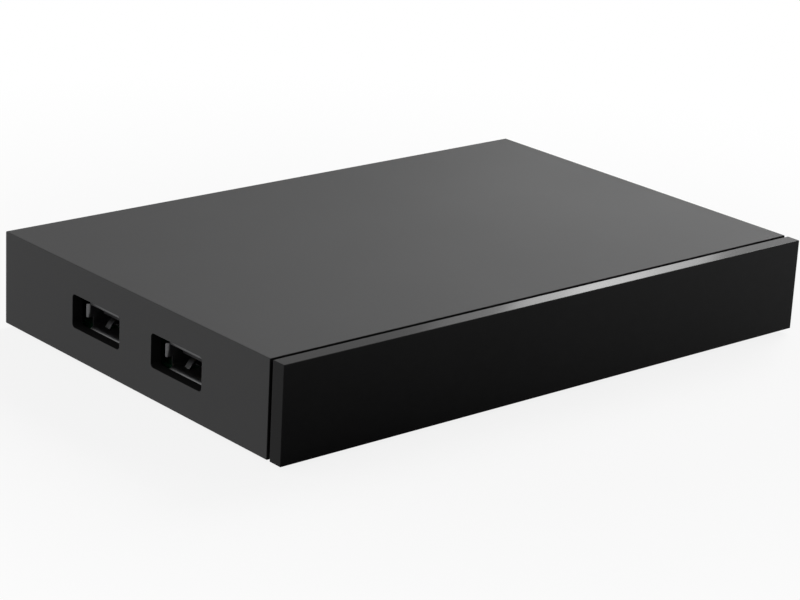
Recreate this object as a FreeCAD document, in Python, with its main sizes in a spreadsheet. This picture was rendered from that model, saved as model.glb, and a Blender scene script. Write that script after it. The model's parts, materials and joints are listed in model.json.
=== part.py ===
import FreeCAD, Part
import Sketcher
import os
import re

# TV decoder box: a flat moulded case with a separate gloss front panel, two sockets in the
# left wall, the connector row at the back and the whole circuit board inside.
# Frame: origin at the middle of the underside, X to the right, front towards -Y, Z up.

Vector = FreeCAD.Vector
document = FreeCAD.newDocument("tv_decoder_box")

# Driving dimensions in millimetres.
sizes = {
    # case
    "case_width": 140,
    "case_depth": 93,
    "case_height": 20,
    "side_wall": 2.4,
    "top_wall": 2.2,
    "rear_wall": 2.2,
    "front_wall": 2,
    "edge_round": 0.3,
    # plays between pieces, and how far joined features root and cuts run over
    "fit_play": 0.1,
    "insert_play": 0.05,
    "screw_play": 0.2,
    "thread_play": 0.02,
    "root_depth": 0.2,
    "cut_margin": 1,
    # front panel, the shadow gap behind it and its carrier
    "panel_thickness": 3.3,
    "panel_gap": 0.8,
    "panel_face": 1.8,
    "panel_rim": 1.8,
    "neck_inset": 1,
    "plateau_play": 0.1,
    "hook_width": 6,
    "hook_thickness": 1.2,
    "hook_barb": 0.7,
    "hook_drop": 4,
    "outer_hook_inset": 17.6,
    "inner_hook_x": 20,
    # base cover
    "base_thickness": 2,
    "base_play": 0.15,
    "lip_height": 1.5,
    "lip_thickness": 1.2,
    "vent_length": 14,
    "vent_width": 1.6,
    "vent_pitch": 4.4,
    "vent_count": 12,
    "vent_row_gap": 6,
    "catch_inset": 22.6,
    "catch_width": 8,
    "catch_thickness": 1.2,
    "catch_reach": 1.2,
    # feet, and the case screws under the rear pair
    "foot_stand": 1,
    "foot_radius": 6,
    "foot_inset": 8.1,
    "rear_foot_inset": 8.3,
    "front_foot_inset": 6.4,
    "boss_radius": 3,
    "screw_radius": 1.3,
    "screw_head_radius": 2.4,
    "screw_head_height": 1.2,
    "screw_grip": 9,
    "screw_tip_play": 0.5,
    "rib_thickness": 1.2,
    "rib_depth": 1.4,
    "rib_rear_margin": 19.2,
    "gusset_depth": 5.6,
    # board
    "standoff_height": 2.9,
    "standoff_radius": 2.8,
    "board_thickness": 1.6,
    "board_side_margin": 1.5,
    "board_front_margin": 3.4,
    "board_rear_margin": 2,
    "board_notch": 4.8,
    "board_screw_inset": 27.6,
    "board_screw_rear_margin": 22.3,
    "board_screw_front_margin": 7,
    "board_rest_width": 6,
    "board_screw_radius": 1,
    "board_screw_head": 2,
    "board_screw_head_height": 1.3,
    "board_screw_length": 5.4,
    # side sockets
    "side_cutout_width": 16.4,
    "side_cutout_height": 7,
    "side_cutout_round": 0.8,
    "side_cutout_rise": 1,
    "side_pitch": 27.1,
    "side_recess": 0.1,
    "side_opening_width": 12.5,
    "side_opening_height": 4.64,
    "sheet": 0.3,
    "side_seat": 0.04,
    "side_depth": 14,
    "flap_length": 0.45,
    "flap_flare": 0.7,
    "flap_slit": 1,
    "finger_offset": 3.4,
    "finger_width": 1.9,
    "finger_start": 1.5,
    "finger_run": 2.8,
    "floor_finger_rise": 1.4,
    "roof_finger_rise": 0.4,
    "finger_slot_play": 0.25,
    "finger_foot": 0.3,
    "side_block": 5,
    "side_tongue_width": 11.1,
    "side_tongue_thickness": 1.7,
    "side_tongue_lift": 0.05,
    "side_tongue_setback": 3.2,
    "side_contact_width": 1,
    "side_contact_thickness": 0.2,
    "side_contact_outer": 3.5,
    "side_contact_inner": 1,
    "side_contact_setback": 0.5,
    "side_contact_foot": 0.8,
    "side_tail_gap": 0.1,
    "leg_length": 1.6,
    "leg_proud": 0.7,
    "leg_play": 0.15,
    "leg_shoulder": 1,
    # rear sockets
    "port_recess": 0.4,
    "port_play": 0.25,
    "video_pitch": 22,
    "video_opening_width": 14,
    "video_opening_height": 4.6,
    "video_lower_width": 10,
    "video_side_height": 2.6,
    "video_seat": 0.3,
    "video_depth": 12,
    "video_block": 4,
    "video_tongue_width": 11.8,
    "video_tongue_thickness": 1,
    "video_tongue_setback": 3.6,
    "video_tongue_lift": 0.2,
    "video_leg_pitch": 4,
    "video_contact_back": 1,
    "video_contact_setback": 0.4,
    "video_contact_pitch": 1,
    "video_contact_width": 0.4,
    "video_contact_thickness": 0.15,
    "network_pitch": 19,
    "network_width": 16,
    "network_height": 13,
    "network_depth": 16,
    "network_floor": 1.9,
    "network_mouth_width": 11.8,
    "network_mouth_height": 7,
    "network_mouth_lift": 0.4,
    "network_face_setback": 0.3,
    "network_latch_width": 6,
    "network_latch_depth": 1.6,
    "network_mouth_depth": 12,
    "network_contact_pitch": 1.02,
    "network_contact_width": 0.4,
    "network_contact_thickness": 0.4,
    "network_contact_setback": 2.5,
    "network_contact_drop": 2.2,
    "network_tab_back": 3,
    "network_tab_length": 2,
    "network_flange": 1.6,
    "optical_pitch": 17,
    "optical_width": 10,
    "optical_height": 10,
    "optical_depth": 14,
    "optical_mouth": 8.4,
    "optical_mouth_depth": 10.5,
    "optical_corner": 1.5,
    "optical_sill": 0.8,
    "shutter_thickness": 0.8,
    "shutter_play": 0.15,
    "shutter_setback": 0.5,
    "shutter_pin_radius": 0.5,
    "shutter_pin_length": 0.5,
    "shutter_pin_play": 0.05,
    "emitter_radius": 2.4,
    "emitter_length": 2,
    "emitter_hole_radius": 1.2,
    "emitter_hole_depth": 2,
    "emitter_sunk": 1.5,
    "audio_pitch": 13,
    "audio_width": 7,
    "audio_height": 6.4,
    "audio_depth": 12,
    "audio_collar_radius": 3.1,
    "audio_collar_length": 0.6,
    "audio_bore": 1.8,
    "audio_bore_depth": 13,
    "power_inset": 18.6,
    "power_width": 9,
    "power_height": 10.8,
    "power_depth": 12,
    "power_axis_height": 6.2,
    "power_nose_radius": 4.1,
    "power_bore": 3.15,
    "power_bore_depth": 10,
    "power_pin_radius": 1,
    "power_pin_setback": 1,
    "power_pin_tip": 0.5,
    "power_pin_tip_radius": 0.5,
    "power_pin_root": 0.7,
    # reset button
    "reset_pitch": 11,
    "reset_height": 2.6,
    "reset_key_radius": 1.7,
    "reset_key_play": 0.2,
    "reset_key_recess": 0.5,
    "reset_collar_reach": 2.4,
    "reset_collar_thickness": 0.8,
    "reset_collar_gap": 0.1,
    "reset_stem_radius": 1,
    "reset_stem_length": 3,
    "reset_travel": 0.4,
    "switch_width": 6,
    "switch_height": 4.4,
    "switch_depth": 4,
    "actuator_radius": 0.9,
    "actuator_play": 0.05,
    "actuator_proud": 0.8,
    "actuator_sink": 1.6,
    # parts on the board
    "processor_x": 8,
    "processor_y": -4,
    "processor_size": 17,
    "processor_thickness": 1.2,
    "processor_lid_margin": 2,
    "pad_thickness": 0.8,
    "sink_width": 40,
    "sink_depth": 34,
    "sink_plate": 1.6,
    "sink_height": 6,
    "sink_fin_thickness": 1,
    "sink_fin_pitch": 3.9,
    "sink_pin_inset": 4,
    "sink_pin_radius": 1.2,
    "sink_pin_head": 2.6,
    "sink_pin_head_height": 1,
    "sink_pin_well_play": 0.3,
    "sink_pin_barb_reach": 1.5,
    "sink_pin_barb_width": 1,
    "sink_pin_barb_height": 1,
    "sink_pin_barb_gap": 0.3,
    "memory_x": 37,
    "memory_gap": 14,
    "chip_width": 9,
    "chip_depth": 11.5,
    "chip_thickness": 1,
    "flash_x": -22,
    "flash_y": -12,
    "inductor_size": 5,
    "inductor_height": 3,
    "inductor_pitch": 7.5,
    "inductor_x": -34,
    "inductor_y": 0,
    "inductor_crown": 0.4,
    "inductor_crown_inset": 0.5,
    "capacitor_radius": 3.15,
    "capacitor_height": 7.7,
    "capacitor_pitch": 8.5,
    "capacitor_y": 24,
    "capacitor_x": 10,
    "capacitor_base": 1,
    "transformer_width": 12.7,
    "transformer_depth": 8,
    "transformer_height": 5.4,
    "transformer_y": 19,
    "transformer_lift": 0.2,
    "lead_width": 0.5,
    "lead_thickness": 0.3,
    "lead_pitch": 1.4,
    "lead_reach": 1.2,
    "crystal_width": 3.2,
    "crystal_depth": 2.5,
    "crystal_height": 0.8,
    "main_crystal_x": -18,
    "main_crystal_y": 4,
    "radio_crystal_gap": 16,
    "radio_x": 50,
    "radio_y": 2,
    "radio_width": 16,
    "radio_depth": 20,
    "radio_board": 0.8,
    "radio_can_height": 2,
    "radio_can_margin": 1.6,
    "antenna_length": 16,
    "antenna_height": 6,
    "antenna_wing": 3,
    "antenna_margin": 1,
    "antenna_rear_gap": 12,
    "antenna_front_gap": 10,
    "antenna_foot": 2,
    # front electronics
    "receiver_inset": 23.6,
    "receiver_width": 5.6,
    "receiver_height": 6.6,
    "receiver_depth": 3,
    "receiver_lens": 2.2,
    "receiver_seat": 0.5,
    "receiver_margin": 0.4,
    "receiver_lens_tip": 1.5,
    "receiver_lens_proud": 1,
    "receiver_leg_width": 0.5,
    "receiver_leg_pitch": 2,
    "receiver_leg_back": 1,
    "window_width": 7,
    "window_height": 6,
    "led_gap": 10,
    "led_width": 1.6,
    "led_depth": 0.8,
    "led_height": 1.2,
    "led_margin": 0.2,
    "light_pipe_radius": 1.2,
    "light_pipe_play": 0.1,
    "light_pipe_gap": 0.2,
    "light_pipe_collar": 1.9,
    "light_pipe_flange": 1,
}

# Places worked out from the driving dimensions.
places = {
    "body_front": "=Sizes.panel_thickness + Sizes.panel_gap - Sizes.case_depth / 2",
    "body_rear": "=Sizes.case_depth / 2",
    "body_low": "=Sizes.foot_stand",
    "body_high": "=Sizes.foot_stand + Sizes.case_height",
    "panel_front": "=-Sizes.case_depth / 2",
    "panel_back": "=Sizes.panel_thickness - Sizes.case_depth / 2",
    "inner_x": "=Sizes.case_width / 2 - Sizes.side_wall",
    "inner_front": "=body_front + Sizes.front_wall",
    "inner_rear": "=body_rear - Sizes.rear_wall",
    "inner_top": "=body_high - Sizes.top_wall",
    "base_top": "=body_low + Sizes.base_thickness",
    "board_low": "=base_top + Sizes.standoff_height",
    "board_high": "=board_low + Sizes.board_thickness",
    "board_x": "=inner_x - Sizes.board_side_margin",
    "board_front": "=inner_front + Sizes.board_front_margin",
    "board_rear": "=inner_rear - Sizes.board_rear_margin",
    "board_screw_x": "=inner_x - Sizes.board_screw_inset",
    "board_screw_rear_y": "=board_rear - Sizes.board_screw_rear_margin",
    "board_screw_front_y": "=board_front + Sizes.board_screw_front_margin",
    "foot_x": "=inner_x - Sizes.foot_inset",
    "rear_foot_y": "=inner_rear - Sizes.rear_foot_inset",
    "front_foot_y": "=inner_front + Sizes.front_foot_inset",
    "head_low": "=body_low + Sizes.fit_play",
    "head_high": "=head_low + Sizes.screw_head_height",
    "boss_low": "=base_top + Sizes.fit_play",
    "catch_x": "=inner_x - Sizes.catch_inset",
    "outer_hook_x": "=inner_x - Sizes.outer_hook_inset",
    "side_mouth": "=-inner_x + Sizes.side_recess",
    "side_root": "=side_mouth + Sizes.flap_length",
    "side_back": "=side_mouth + Sizes.side_depth",
    "side_half": "=Sizes.side_opening_width / 2 + Sizes.sheet",
    "side_low": "=board_high + Sizes.side_seat",
    "side_middle": "=side_low + Sizes.sheet + Sizes.side_opening_height / 2",
    "side_high": "=side_middle + Sizes.sheet + Sizes.side_opening_height / 2",
    "side_cut_middle": "=side_middle + Sizes.side_cutout_rise",
    "tongue_low": "=side_middle + Sizes.side_tongue_lift",
    "leg_low": "=board_low - Sizes.leg_proud",
    "port_face": "=body_rear - Sizes.port_recess",
    "power_x": "=-inner_x + Sizes.power_inset",
    "network_x": "=power_x + Sizes.network_pitch",
    "video_x": "=network_x + Sizes.video_pitch",
    "optical_x": "=video_x + Sizes.optical_pitch",
    "audio_x": "=optical_x + Sizes.audio_pitch",
    "reset_x": "=audio_x + Sizes.reset_pitch",
    "video_back": "=port_face - Sizes.video_depth",
    "video_low": "=board_high + Sizes.video_seat + Sizes.sheet",
    "video_high": "=video_low + Sizes.video_opening_height",
    "video_middle": "=video_low + Sizes.video_opening_height / 2",
    "network_low": "=base_top + Sizes.network_floor",
    "network_high": "=network_low + Sizes.network_height",
    "network_back": "=port_face - Sizes.network_depth",
    "network_middle": "=network_low + Sizes.network_height / 2 + Sizes.network_mouth_lift",
    "network_face": "=port_face - Sizes.network_face_setback",
    "optical_high": "=board_high + Sizes.optical_height",
    "optical_mouth_low": "=board_high + Sizes.optical_sill",
    "optical_mouth_high": "=optical_mouth_low + Sizes.optical_mouth",
    "optical_middle": "=optical_mouth_low + Sizes.optical_mouth / 2",
    "emitter_front": "=port_face - Sizes.optical_mouth_depth - Sizes.emitter_sunk",
    "emitter_rear": "=emitter_front + Sizes.emitter_sunk + Sizes.emitter_length",
    "shutter_rear": "=port_face - Sizes.shutter_setback",
    "hinge_y": "=shutter_rear - Sizes.shutter_thickness / 2",
    "hinge_z": "=optical_mouth_high - Sizes.shutter_play - Sizes.shutter_pin_radius",
    "audio_z": "=board_high + Sizes.audio_height / 2",
    "audio_back": "=inner_rear - Sizes.audio_depth",
    "collar_start": "=port_face - Sizes.audio_collar_length",
    "power_z": "=board_high + Sizes.power_axis_height",
    "power_back": "=inner_rear - Sizes.power_depth",
    "power_bore_end": "=port_face - Sizes.power_bore_depth",
    "power_pin_end": "=port_face - Sizes.power_pin_setback",
    "reset_z": "=board_high + Sizes.reset_height",
    "reset_face": "=body_rear - Sizes.reset_key_recess",
    "collar_rear": "=inner_rear - Sizes.reset_collar_gap",
    "collar_front": "=collar_rear - Sizes.reset_collar_thickness",
    "stem_end": "=collar_front - Sizes.reset_stem_length",
    "switch_rear": "=stem_end - Sizes.actuator_proud",
    "switch_front": "=switch_rear - Sizes.switch_depth",
    "processor_top": "=board_high + Sizes.processor_thickness",
    "sink_low": "=processor_top + Sizes.pad_thickness",
    "sink_seat": "=sink_low + Sizes.sink_plate",
    "rear_antenna_y": "=rear_foot_y - Sizes.antenna_rear_gap",
    "front_antenna_y": "=front_foot_y + Sizes.antenna_front_gap",
    "receiver_x": "=inner_x - Sizes.receiver_inset",
    "led_x": "=receiver_x - Sizes.led_gap",
    "window_z": "=board_high + Sizes.receiver_seat + Sizes.receiver_height / 2",
    "led_z": "=board_high + Sizes.led_height / 2 + Sizes.light_pipe_collar",
    "plateau_front": "=panel_front + Sizes.panel_face + Sizes.plateau_play",
    "hook_high": "=body_high - Sizes.hook_drop",
}


def fill_sheet(name, cells):
    sheet = document.addObject("Spreadsheet::Sheet", name)
    for row, (alias, content) in enumerate(cells.items(), 1):
        sheet.set("A%d" % row, alias)
        sheet.set("B%d" % row, str(content))
        sheet.setAlias("B%d" % row, alias)
    return sheet


fill_sheet("Sizes", sizes)
fill_sheet("Places", places)
document.recompute()


def qualified(text):
    # puts the name of its sheet before each alias in a formula
    def with_sheet(word):
        return ("Sizes." if word.group() in sizes else "Places.") + word.group()
    return re.sub(r"[a-z][a-z_]+", with_sheet, str(text))


def value(text):
    return float(document.getObject("Sizes").evalExpression(qualified(text)))


def bind(item, target, text):
    item.setExpression(target, qualified(text))


# Primitives and booleans

def box(name, x, y, z):
    solid = document.addObject("Part::Box", name)
    for side, axis, (low, high) in (("Length", "x", x), ("Width", "y", y), ("Height", "z", z)):
        bind(solid, side, "(%s) - (%s)" % (high, low))
        bind(solid, "Placement.Base." + axis, low)
    return solid


turns = {
    "x": FreeCAD.Rotation(Vector(0, 1, 0), 90),
    "y": FreeCAD.Rotation(Vector(1, 0, 0), -90),
    "z": FreeCAD.Rotation(),
}


def rod(name, axis, x, y, z, radius, end_radius=None):
    # a cylinder or cone along one axis, whose coordinate is a (low, high) pair
    kind = "Part::Cylinder" if end_radius is None else "Part::Cone"
    solid = document.addObject(kind, name)
    solid.Placement = FreeCAD.Placement(Vector(), turns[axis])
    for letter, place in (("x", x), ("y", y), ("z", z)):
        if letter == axis:
            bind(solid, "Height", "(%s) - (%s)" % (place[1], place[0]))
            place = place[0]
        bind(solid, "Placement.Base." + letter, place)
    if end_radius is None:
        bind(solid, "Radius", radius)
    else:
        bind(solid, "Radius1", radius)
        bind(solid, "Radius2", end_radius)
    return solid


def fuse(name, solids):
    joined = document.addObject("Part::MultiFuse", name)
    joined.Shapes = solids
    joined.Refine = True
    return joined


def cut(name, base, tools):
    result = document.addObject("Part::Cut", name)
    result.Base = base
    result.Tool = tools[0] if len(tools) == 1 else fuse(name + "_tools", tools)
    result.Refine = True
    return result


def group(name, solids):
    compound = document.addObject("Part::Compound", name)
    compound.Links = solids
    return compound


# Sketches and features

def new_body(name):
    return document.addObject("PartDesign::Body", name)


def origin_feature(body, role):
    return [item for item in body.Origin.OriginFeatures if item.Role == role][0]


def new_sketch(body, name, plane, offset):
    drawing = body.newObject("Sketcher::SketchObject", name)
    drawing.AttachmentSupport = [(origin_feature(body, plane + "_Plane"), "")]
    drawing.MapMode = "FlatFace"
    # the XZ plane faces the front, so its offsets count backwards
    bind(drawing, "AttachmentOffset.Base.z", "-(%s)" % offset if plane == "XZ" else offset)
    return drawing


def outline(drawing, points):
    first = drawing.GeometryCount
    corners = [Vector(value(across), value(up), 0) for across, up in points]
    for start, end in zip(corners, corners[1:] + corners[:1]):
        drawing.addGeometry(Part.LineSegment(start, end))
    for side in range(len(points)):
        following = first + (side + 1) % len(points)
        drawing.addConstraint(Sketcher.Constraint("Coincident", first + side, 2, following, 1))
    for side, (across, up) in enumerate(points):
        for kind, text in (("DistanceX", across), ("DistanceY", up)):
            datum = Sketcher.Constraint(kind, -1, 1, first + side, 1, value(text))
            bind(drawing, "Constraints[%d]" % drawing.addConstraint(datum), text)


def rectangle(drawing, across, up):
    (left, right), (low, high) = across, up
    outline(drawing, [(left, low), (right, low), (right, high), (left, high)])


def circle(drawing, across, up, radius):
    ring = drawing.GeometryCount
    centre = Vector(value(across), value(up), 0)
    drawing.addGeometry(Part.Circle(centre, Vector(0, 0, 1), value(radius)))
    for kind, text in (("DistanceX", across), ("DistanceY", up)):
        datum = Sketcher.Constraint(kind, -1, 1, ring, 3, value(text))
        bind(drawing, "Constraints[%d]" % drawing.addConstraint(datum), text)
    datum = Sketcher.Constraint("Radius", ring, value(radius))
    bind(drawing, "Constraints[%d]" % drawing.addConstraint(datum), radius)


def extrude(kind, body, name, plane, span, draw):
    # a pad or pocket that fills the span of the axis square to its plane
    low, high = span
    starts_high = (plane == "XZ") == (kind == "Pad")
    drawing = new_sketch(body, name + "_sketch", plane, high if starts_high else low)
    draw(drawing)
    feature = body.newObject("PartDesign::" + kind, name)
    feature.Profile = drawing
    bind(feature, "Length", "(%s) - (%s)" % (high, low))
    return feature


def add(body, name, plane, span, draw):
    return extrude("Pad", body, name, plane, span, draw)


def remove(body, name, plane, span, draw):
    return extrude("Pocket", body, name, plane, span, draw)


def round_edges(body, name, radius, wanted):
    document.recompute()
    base = body.Tip
    edges = ["Edge%d" % number for number, edge in enumerate(base.Shape.Edges, 1) if wanted(edge)]
    fillet = body.newObject("PartDesign::Fillet", name)
    fillet.Base = (base, edges)
    bind(fillet, "Radius", radius)
    return fillet


def on_planes(planes, count):
    # tells edges that lie along at least this many of the (axis, place) planes
    tolerance = 0.001
    flats = [(axis, value(place)) for axis, place in planes]

    def wanted(edge):
        ends = [edge.valueAt(edge.FirstParameter), edge.valueAt(edge.LastParameter)]
        hits = sum(all(abs(getattr(end, axis) - place) < tolerance for end in ends)
                   for axis, place in flats)
        return hits >= count
    return wanted


def corners_along(axis, across, up):
    # tells short edges along one axis that stand on the corners of a rectangle
    tolerance = 0.001
    first, second = [letter for letter in "xyz" if letter != axis]
    firsts = [value(place) for place in across]
    seconds = [value(place) for place in up]

    def wanted(edge):
        ends = [edge.valueAt(edge.FirstParameter), edge.valueAt(edge.LastParameter)]
        level = all(abs(getattr(ends[0], letter) - getattr(ends[1], letter)) < tolerance
                    for letter in (first, second))
        return level and all(
            min(abs(getattr(end, first) - place) for place in firsts) < tolerance
            and min(abs(getattr(end, second) - place) for place in seconds) < tolerance
            for end in ends)
    return wanted


foot_places = [(side + "foot_x", y) for side in ("-", "") for y in ("rear_foot_y", "front_foot_y")]
screw_places = [(x, y) for x, y in foot_places if y == "rear_foot_y"]
board_screws = [("-board_screw_x", "board_screw_rear_y"), ("board_screw_x", "board_screw_front_y")]
board_rests = [("board_screw_x", "board_screw_rear_y"), ("-board_screw_x", "board_screw_front_y")]
catch_places = ["-catch_x", "catch_x"]
side_sockets = {"rear": "side_pitch / 2", "front": "-side_pitch / 2"}
hook_places = ["-outer_hook_x", "-inner_hook_x", "inner_hook_x", "outer_hook_x"]


# Case

def upper_housing():
    body = new_body("upper_housing")
    half = "case_width / 2"
    add(body, "housing_block", "XY", ("body_low", "body_high"),
        lambda drawing: rectangle(drawing, ("-" + half, half), ("body_front", "body_rear")))
    faces = [("x", "-" + half), ("x", half), ("y", "body_front"), ("y", "body_rear"),
             ("z", "body_high")]
    round_edges(body, "housing_edges", "edge_round", on_planes(faces, 2))
    remove(body, "housing_inside", "XY", ("body_low", "inner_top"),
           lambda drawing: rectangle(drawing, ("-inner_x", "inner_x"), ("inner_front", "inner_rear")))
    add(body, "housing_bosses", "XY", ("boss_low", "inner_top"),
        lambda drawing: [circle(drawing, x, y, "boss_radius") for x, y in screw_places])
    # gussets tie the bosses to the side walls, and ribs stiffen the top
    rib = "rib_thickness / 2"
    add(body, "housing_gussets", "XY", ("inner_top - gusset_depth", "inner_top"),
        lambda drawing: [rectangle(drawing, ends, beside("rear_foot_y", rib))
                         for ends in (("-inner_x - root_depth", "root_depth - foot_x - boss_radius"),
                                      ("foot_x + boss_radius - root_depth",
                                       "inner_x + root_depth"))])
    add(body, "housing_ribs", "XY", ("inner_top - rib_depth", "inner_top + root_depth"),
        lambda drawing: [rectangle(drawing, beside(x, rib),
                                   ("inner_front - root_depth", "inner_rear - rib_rear_margin"))
                         for x in ("-inner_x / 2", "inner_x / 2")])
    remove(body, "boss_bores", "XY", ("boss_low", "boss_low + screw_grip"),
           lambda drawing: [circle(drawing, x, y, "screw_radius + thread_play")
                            for x, y in screw_places])
    # pockets in the front wall take the base cover's catches
    remove(body, "catch_pockets", "XZ", ("inner_front - catch_reach - fit_play", "inner_front"),
           lambda drawing: [rectangle(drawing, beside(x, "catch_width / 2 + fit_play"),
                                      ("base_top - fit_play", "base_top + catch_thickness + fit_play"))
                            for x in catch_places])
    cut_half = "side_cutout_width / 2"
    rise = "side_cutout_height / 2"
    for place, y in side_sockets.items():
        across = ("%s - %s" % (y, cut_half), "%s + %s" % (y, cut_half))
        up = ("side_cut_middle - " + rise, "side_cut_middle + " + rise)
        remove(body, place + "_side_cutout", "YZ", ("-" + half, "-inner_x"),
               lambda drawing: rectangle(drawing, across, up))
        round_edges(body, place + "_cutout_corners", "side_cutout_round",
                    corners_along("x", across, up))
    remove(body, "rear_openings", "XZ", ("inner_rear", "body_rear"), draw_rear_openings)
    remove(body, "front_openings", "XZ", ("body_front", "inner_front"), draw_front_openings)


def draw_rear_openings(drawing):
    outline(drawing, video_profile("sheet + port_play"))
    rectangle(drawing, beside("network_x", "network_width / 2 + port_play"),
              ("network_low - port_play", "network_high + port_play"))
    rectangle(drawing, beside("optical_x", "optical_width / 2 + port_play"),
              ("board_high - port_play", "optical_high + port_play"))
    circle(drawing, "audio_x", "audio_z", "audio_collar_radius + port_play")
    circle(drawing, "power_x", "power_z", "power_nose_radius + port_play")
    circle(drawing, "reset_x", "reset_z", "reset_key_radius + reset_key_play")


def draw_front_openings(drawing):
    for x in hook_places:
        rectangle(drawing, beside(x, "hook_width / 2 + fit_play * 2"),
                  ("hook_high - hook_thickness - fit_play * 2", "hook_high + hook_barb + fit_play"))
    rectangle(drawing, beside("receiver_x", "window_width / 2"),
              ("window_z - window_height / 2", "window_z + window_height / 2"))
    circle(drawing, "led_x", "led_z", "light_pipe_radius + light_pipe_play")


def beside(middle, reach):
    return ("%s - (%s)" % (middle, reach), "%s + (%s)" % (middle, reach))


def video_profile(grow):
    # the video socket's outline, wide above and narrower below, grown by one margin
    wide = "(video_opening_width / 2 + %s)" % grow
    narrow = "(video_lower_width / 2 + %s)" % grow
    low = "video_low - (%s)" % grow
    shoulder = "video_high - video_side_height"
    high = "video_high + %s" % grow
    return [("video_x - " + narrow, low), ("video_x + " + narrow, low),
            ("video_x + " + wide, shoulder), ("video_x + " + wide, high),
            ("video_x - " + wide, high), ("video_x - " + wide, shoulder)]


def base_cover():
    body = new_body("base_tray")
    edge_x = "inner_x - base_play"
    front = "inner_front + base_play"
    rear = "inner_rear - base_play"
    add(body, "base_plate", "XY", ("body_low", "base_top"),
        lambda drawing: rectangle(drawing, ("-(%s)" % edge_x, edge_x), (front, rear)))
    add(body, "base_lip", "XY", ("base_top - root_depth", "base_top + lip_height"),
        lambda drawing: draw_lip(drawing, edge_x, front, rear))
    # catches tuck under the front wall, and the rear is held by the screws
    add(body, "base_catches", "XY", ("base_top", "base_top + catch_thickness"),
        lambda drawing: [rectangle(drawing, beside(x, "catch_width / 2"),
                                   ("inner_front - catch_reach", front + " + root_depth"))
                         for x in catch_places])
    add(body, "board_standoffs", "XY", ("base_top - root_depth", "board_low"),
        lambda drawing: [circle(drawing, x, y, "standoff_radius") for x, y in board_screws])
    add(body, "board_rests", "XY", ("base_top - root_depth", "board_low"),
        lambda drawing: [rectangle(drawing, beside(x, "board_rest_width / 2"),
                                   beside(y, "rib_thickness / 2")) for x, y in board_rests])
    remove(body, "screw_holes", "XY", ("body_low", "base_top"),
           lambda drawing: [circle(drawing, x, y, "screw_radius + screw_play")
                            for x, y in screw_places])
    remove(body, "standoff_bores", "XY",
           ("board_high - board_screw_length - fit_play", "board_low"),
           lambda drawing: [circle(drawing, x, y, "board_screw_radius + thread_play")
                            for x, y in board_screws])
    first = "-(vent_count - 1) * vent_pitch / 2"
    slot = remove(body, "first_vents", "XY", ("body_low", "base_top"),
                  lambda drawing: [rectangle(drawing, beside(first, "vent_width / 2"), reach)
                                   for reach in (("-vent_row_gap / 2 - vent_length",
                                                  "-vent_row_gap / 2"),
                                                 ("vent_row_gap / 2",
                                                  "vent_row_gap / 2 + vent_length"))])
    row = body.newObject("PartDesign::LinearPattern", "vent_rows")
    row.Originals = [slot]
    row.Direction = (origin_feature(body, "X_Axis"), [""])
    bind(row, "Length", "(vent_count - 1) * vent_pitch")
    bind(row, "Occurrences", "vent_count")
    body.Tip = row
    countersinks = [rod("countersink_%d" % number, "z", x, y, ("body_low", "head_high"),
                        "screw_head_radius + screw_play", "screw_radius + screw_play")
                    for number, (x, y) in enumerate(screw_places, 1)]
    cut("base_cover", body, countersinks)


def draw_lip(drawing, edge_x, front, rear):
    rectangle(drawing, ("-(%s)" % edge_x, edge_x), (front, rear))
    rectangle(drawing, ("-(%s) + lip_thickness" % edge_x, edge_x + " - lip_thickness"),
              (front + " + lip_thickness", rear + " - lip_thickness"))


def front_panel():
    body = new_body("front_panel")
    half = "case_width / 2"
    add(body, "panel_block", "XZ", ("panel_front", "panel_back"),
        lambda drawing: rectangle(drawing, ("-" + half, half), ("body_low", "body_high")))
    faces = [("x", "-" + half), ("x", half), ("y", "panel_front"), ("z", "body_low"),
             ("z", "body_high")]
    round_edges(body, "panel_edges", "edge_round", on_planes(faces, 2))
    remove(body, "panel_tray", "XZ", ("panel_front + panel_face", "panel_back"),
           lambda drawing: rectangle(drawing, ("panel_rim - " + half, half + " - panel_rim"),
                                     ("body_low + panel_rim", "body_high - panel_rim")))


def panel_carrier():
    # the recessed neck seen in the shadow gap, with hooks that snap into the housing
    body = new_body("panel_carrier")
    half = "case_width / 2"
    add(body, "neck_plate", "XZ", ("panel_back", "body_front"),
        lambda drawing: rectangle(drawing, ("neck_inset - " + half, half + " - neck_inset"),
                                  ("body_low + neck_inset", "body_high - neck_inset")))
    margin = "panel_rim + plateau_play"
    add(body, "neck_plateau", "XZ", ("plateau_front", "panel_back"),
        lambda drawing: rectangle(drawing, ("%s - %s" % (margin, half), "%s - (%s)" % (half, margin)),
                                  ("body_low + " + margin, "body_high - (%s)" % margin)))
    for number, x in enumerate(hook_places, 1):
        draw_hook = [("body_front - fit_play", "hook_high - hook_thickness"),
                     ("inner_front + hook_barb * 2 + fit_play", "hook_high - hook_thickness"),
                     ("inner_front + hook_barb * 2 + fit_play", "hook_high"),
                     ("inner_front + fit_play", "hook_high + hook_barb"),
                     ("inner_front + fit_play", "hook_high"),
                     ("body_front - fit_play", "hook_high")]
        add(body, "panel_hook_%d" % number, "YZ", beside(x, "hook_width / 2"),
            lambda drawing: outline(drawing, draw_hook))
    remove(body, "carrier_openings", "XZ", ("plateau_front", "body_front"),
           lambda drawing: [rectangle(drawing, beside("receiver_x", "window_width / 2"),
                                      ("window_z - window_height / 2",
                                       "window_z + window_height / 2")),
                            circle(drawing, "led_x", "led_z",
                                   "light_pipe_radius + light_pipe_play")])


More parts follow.
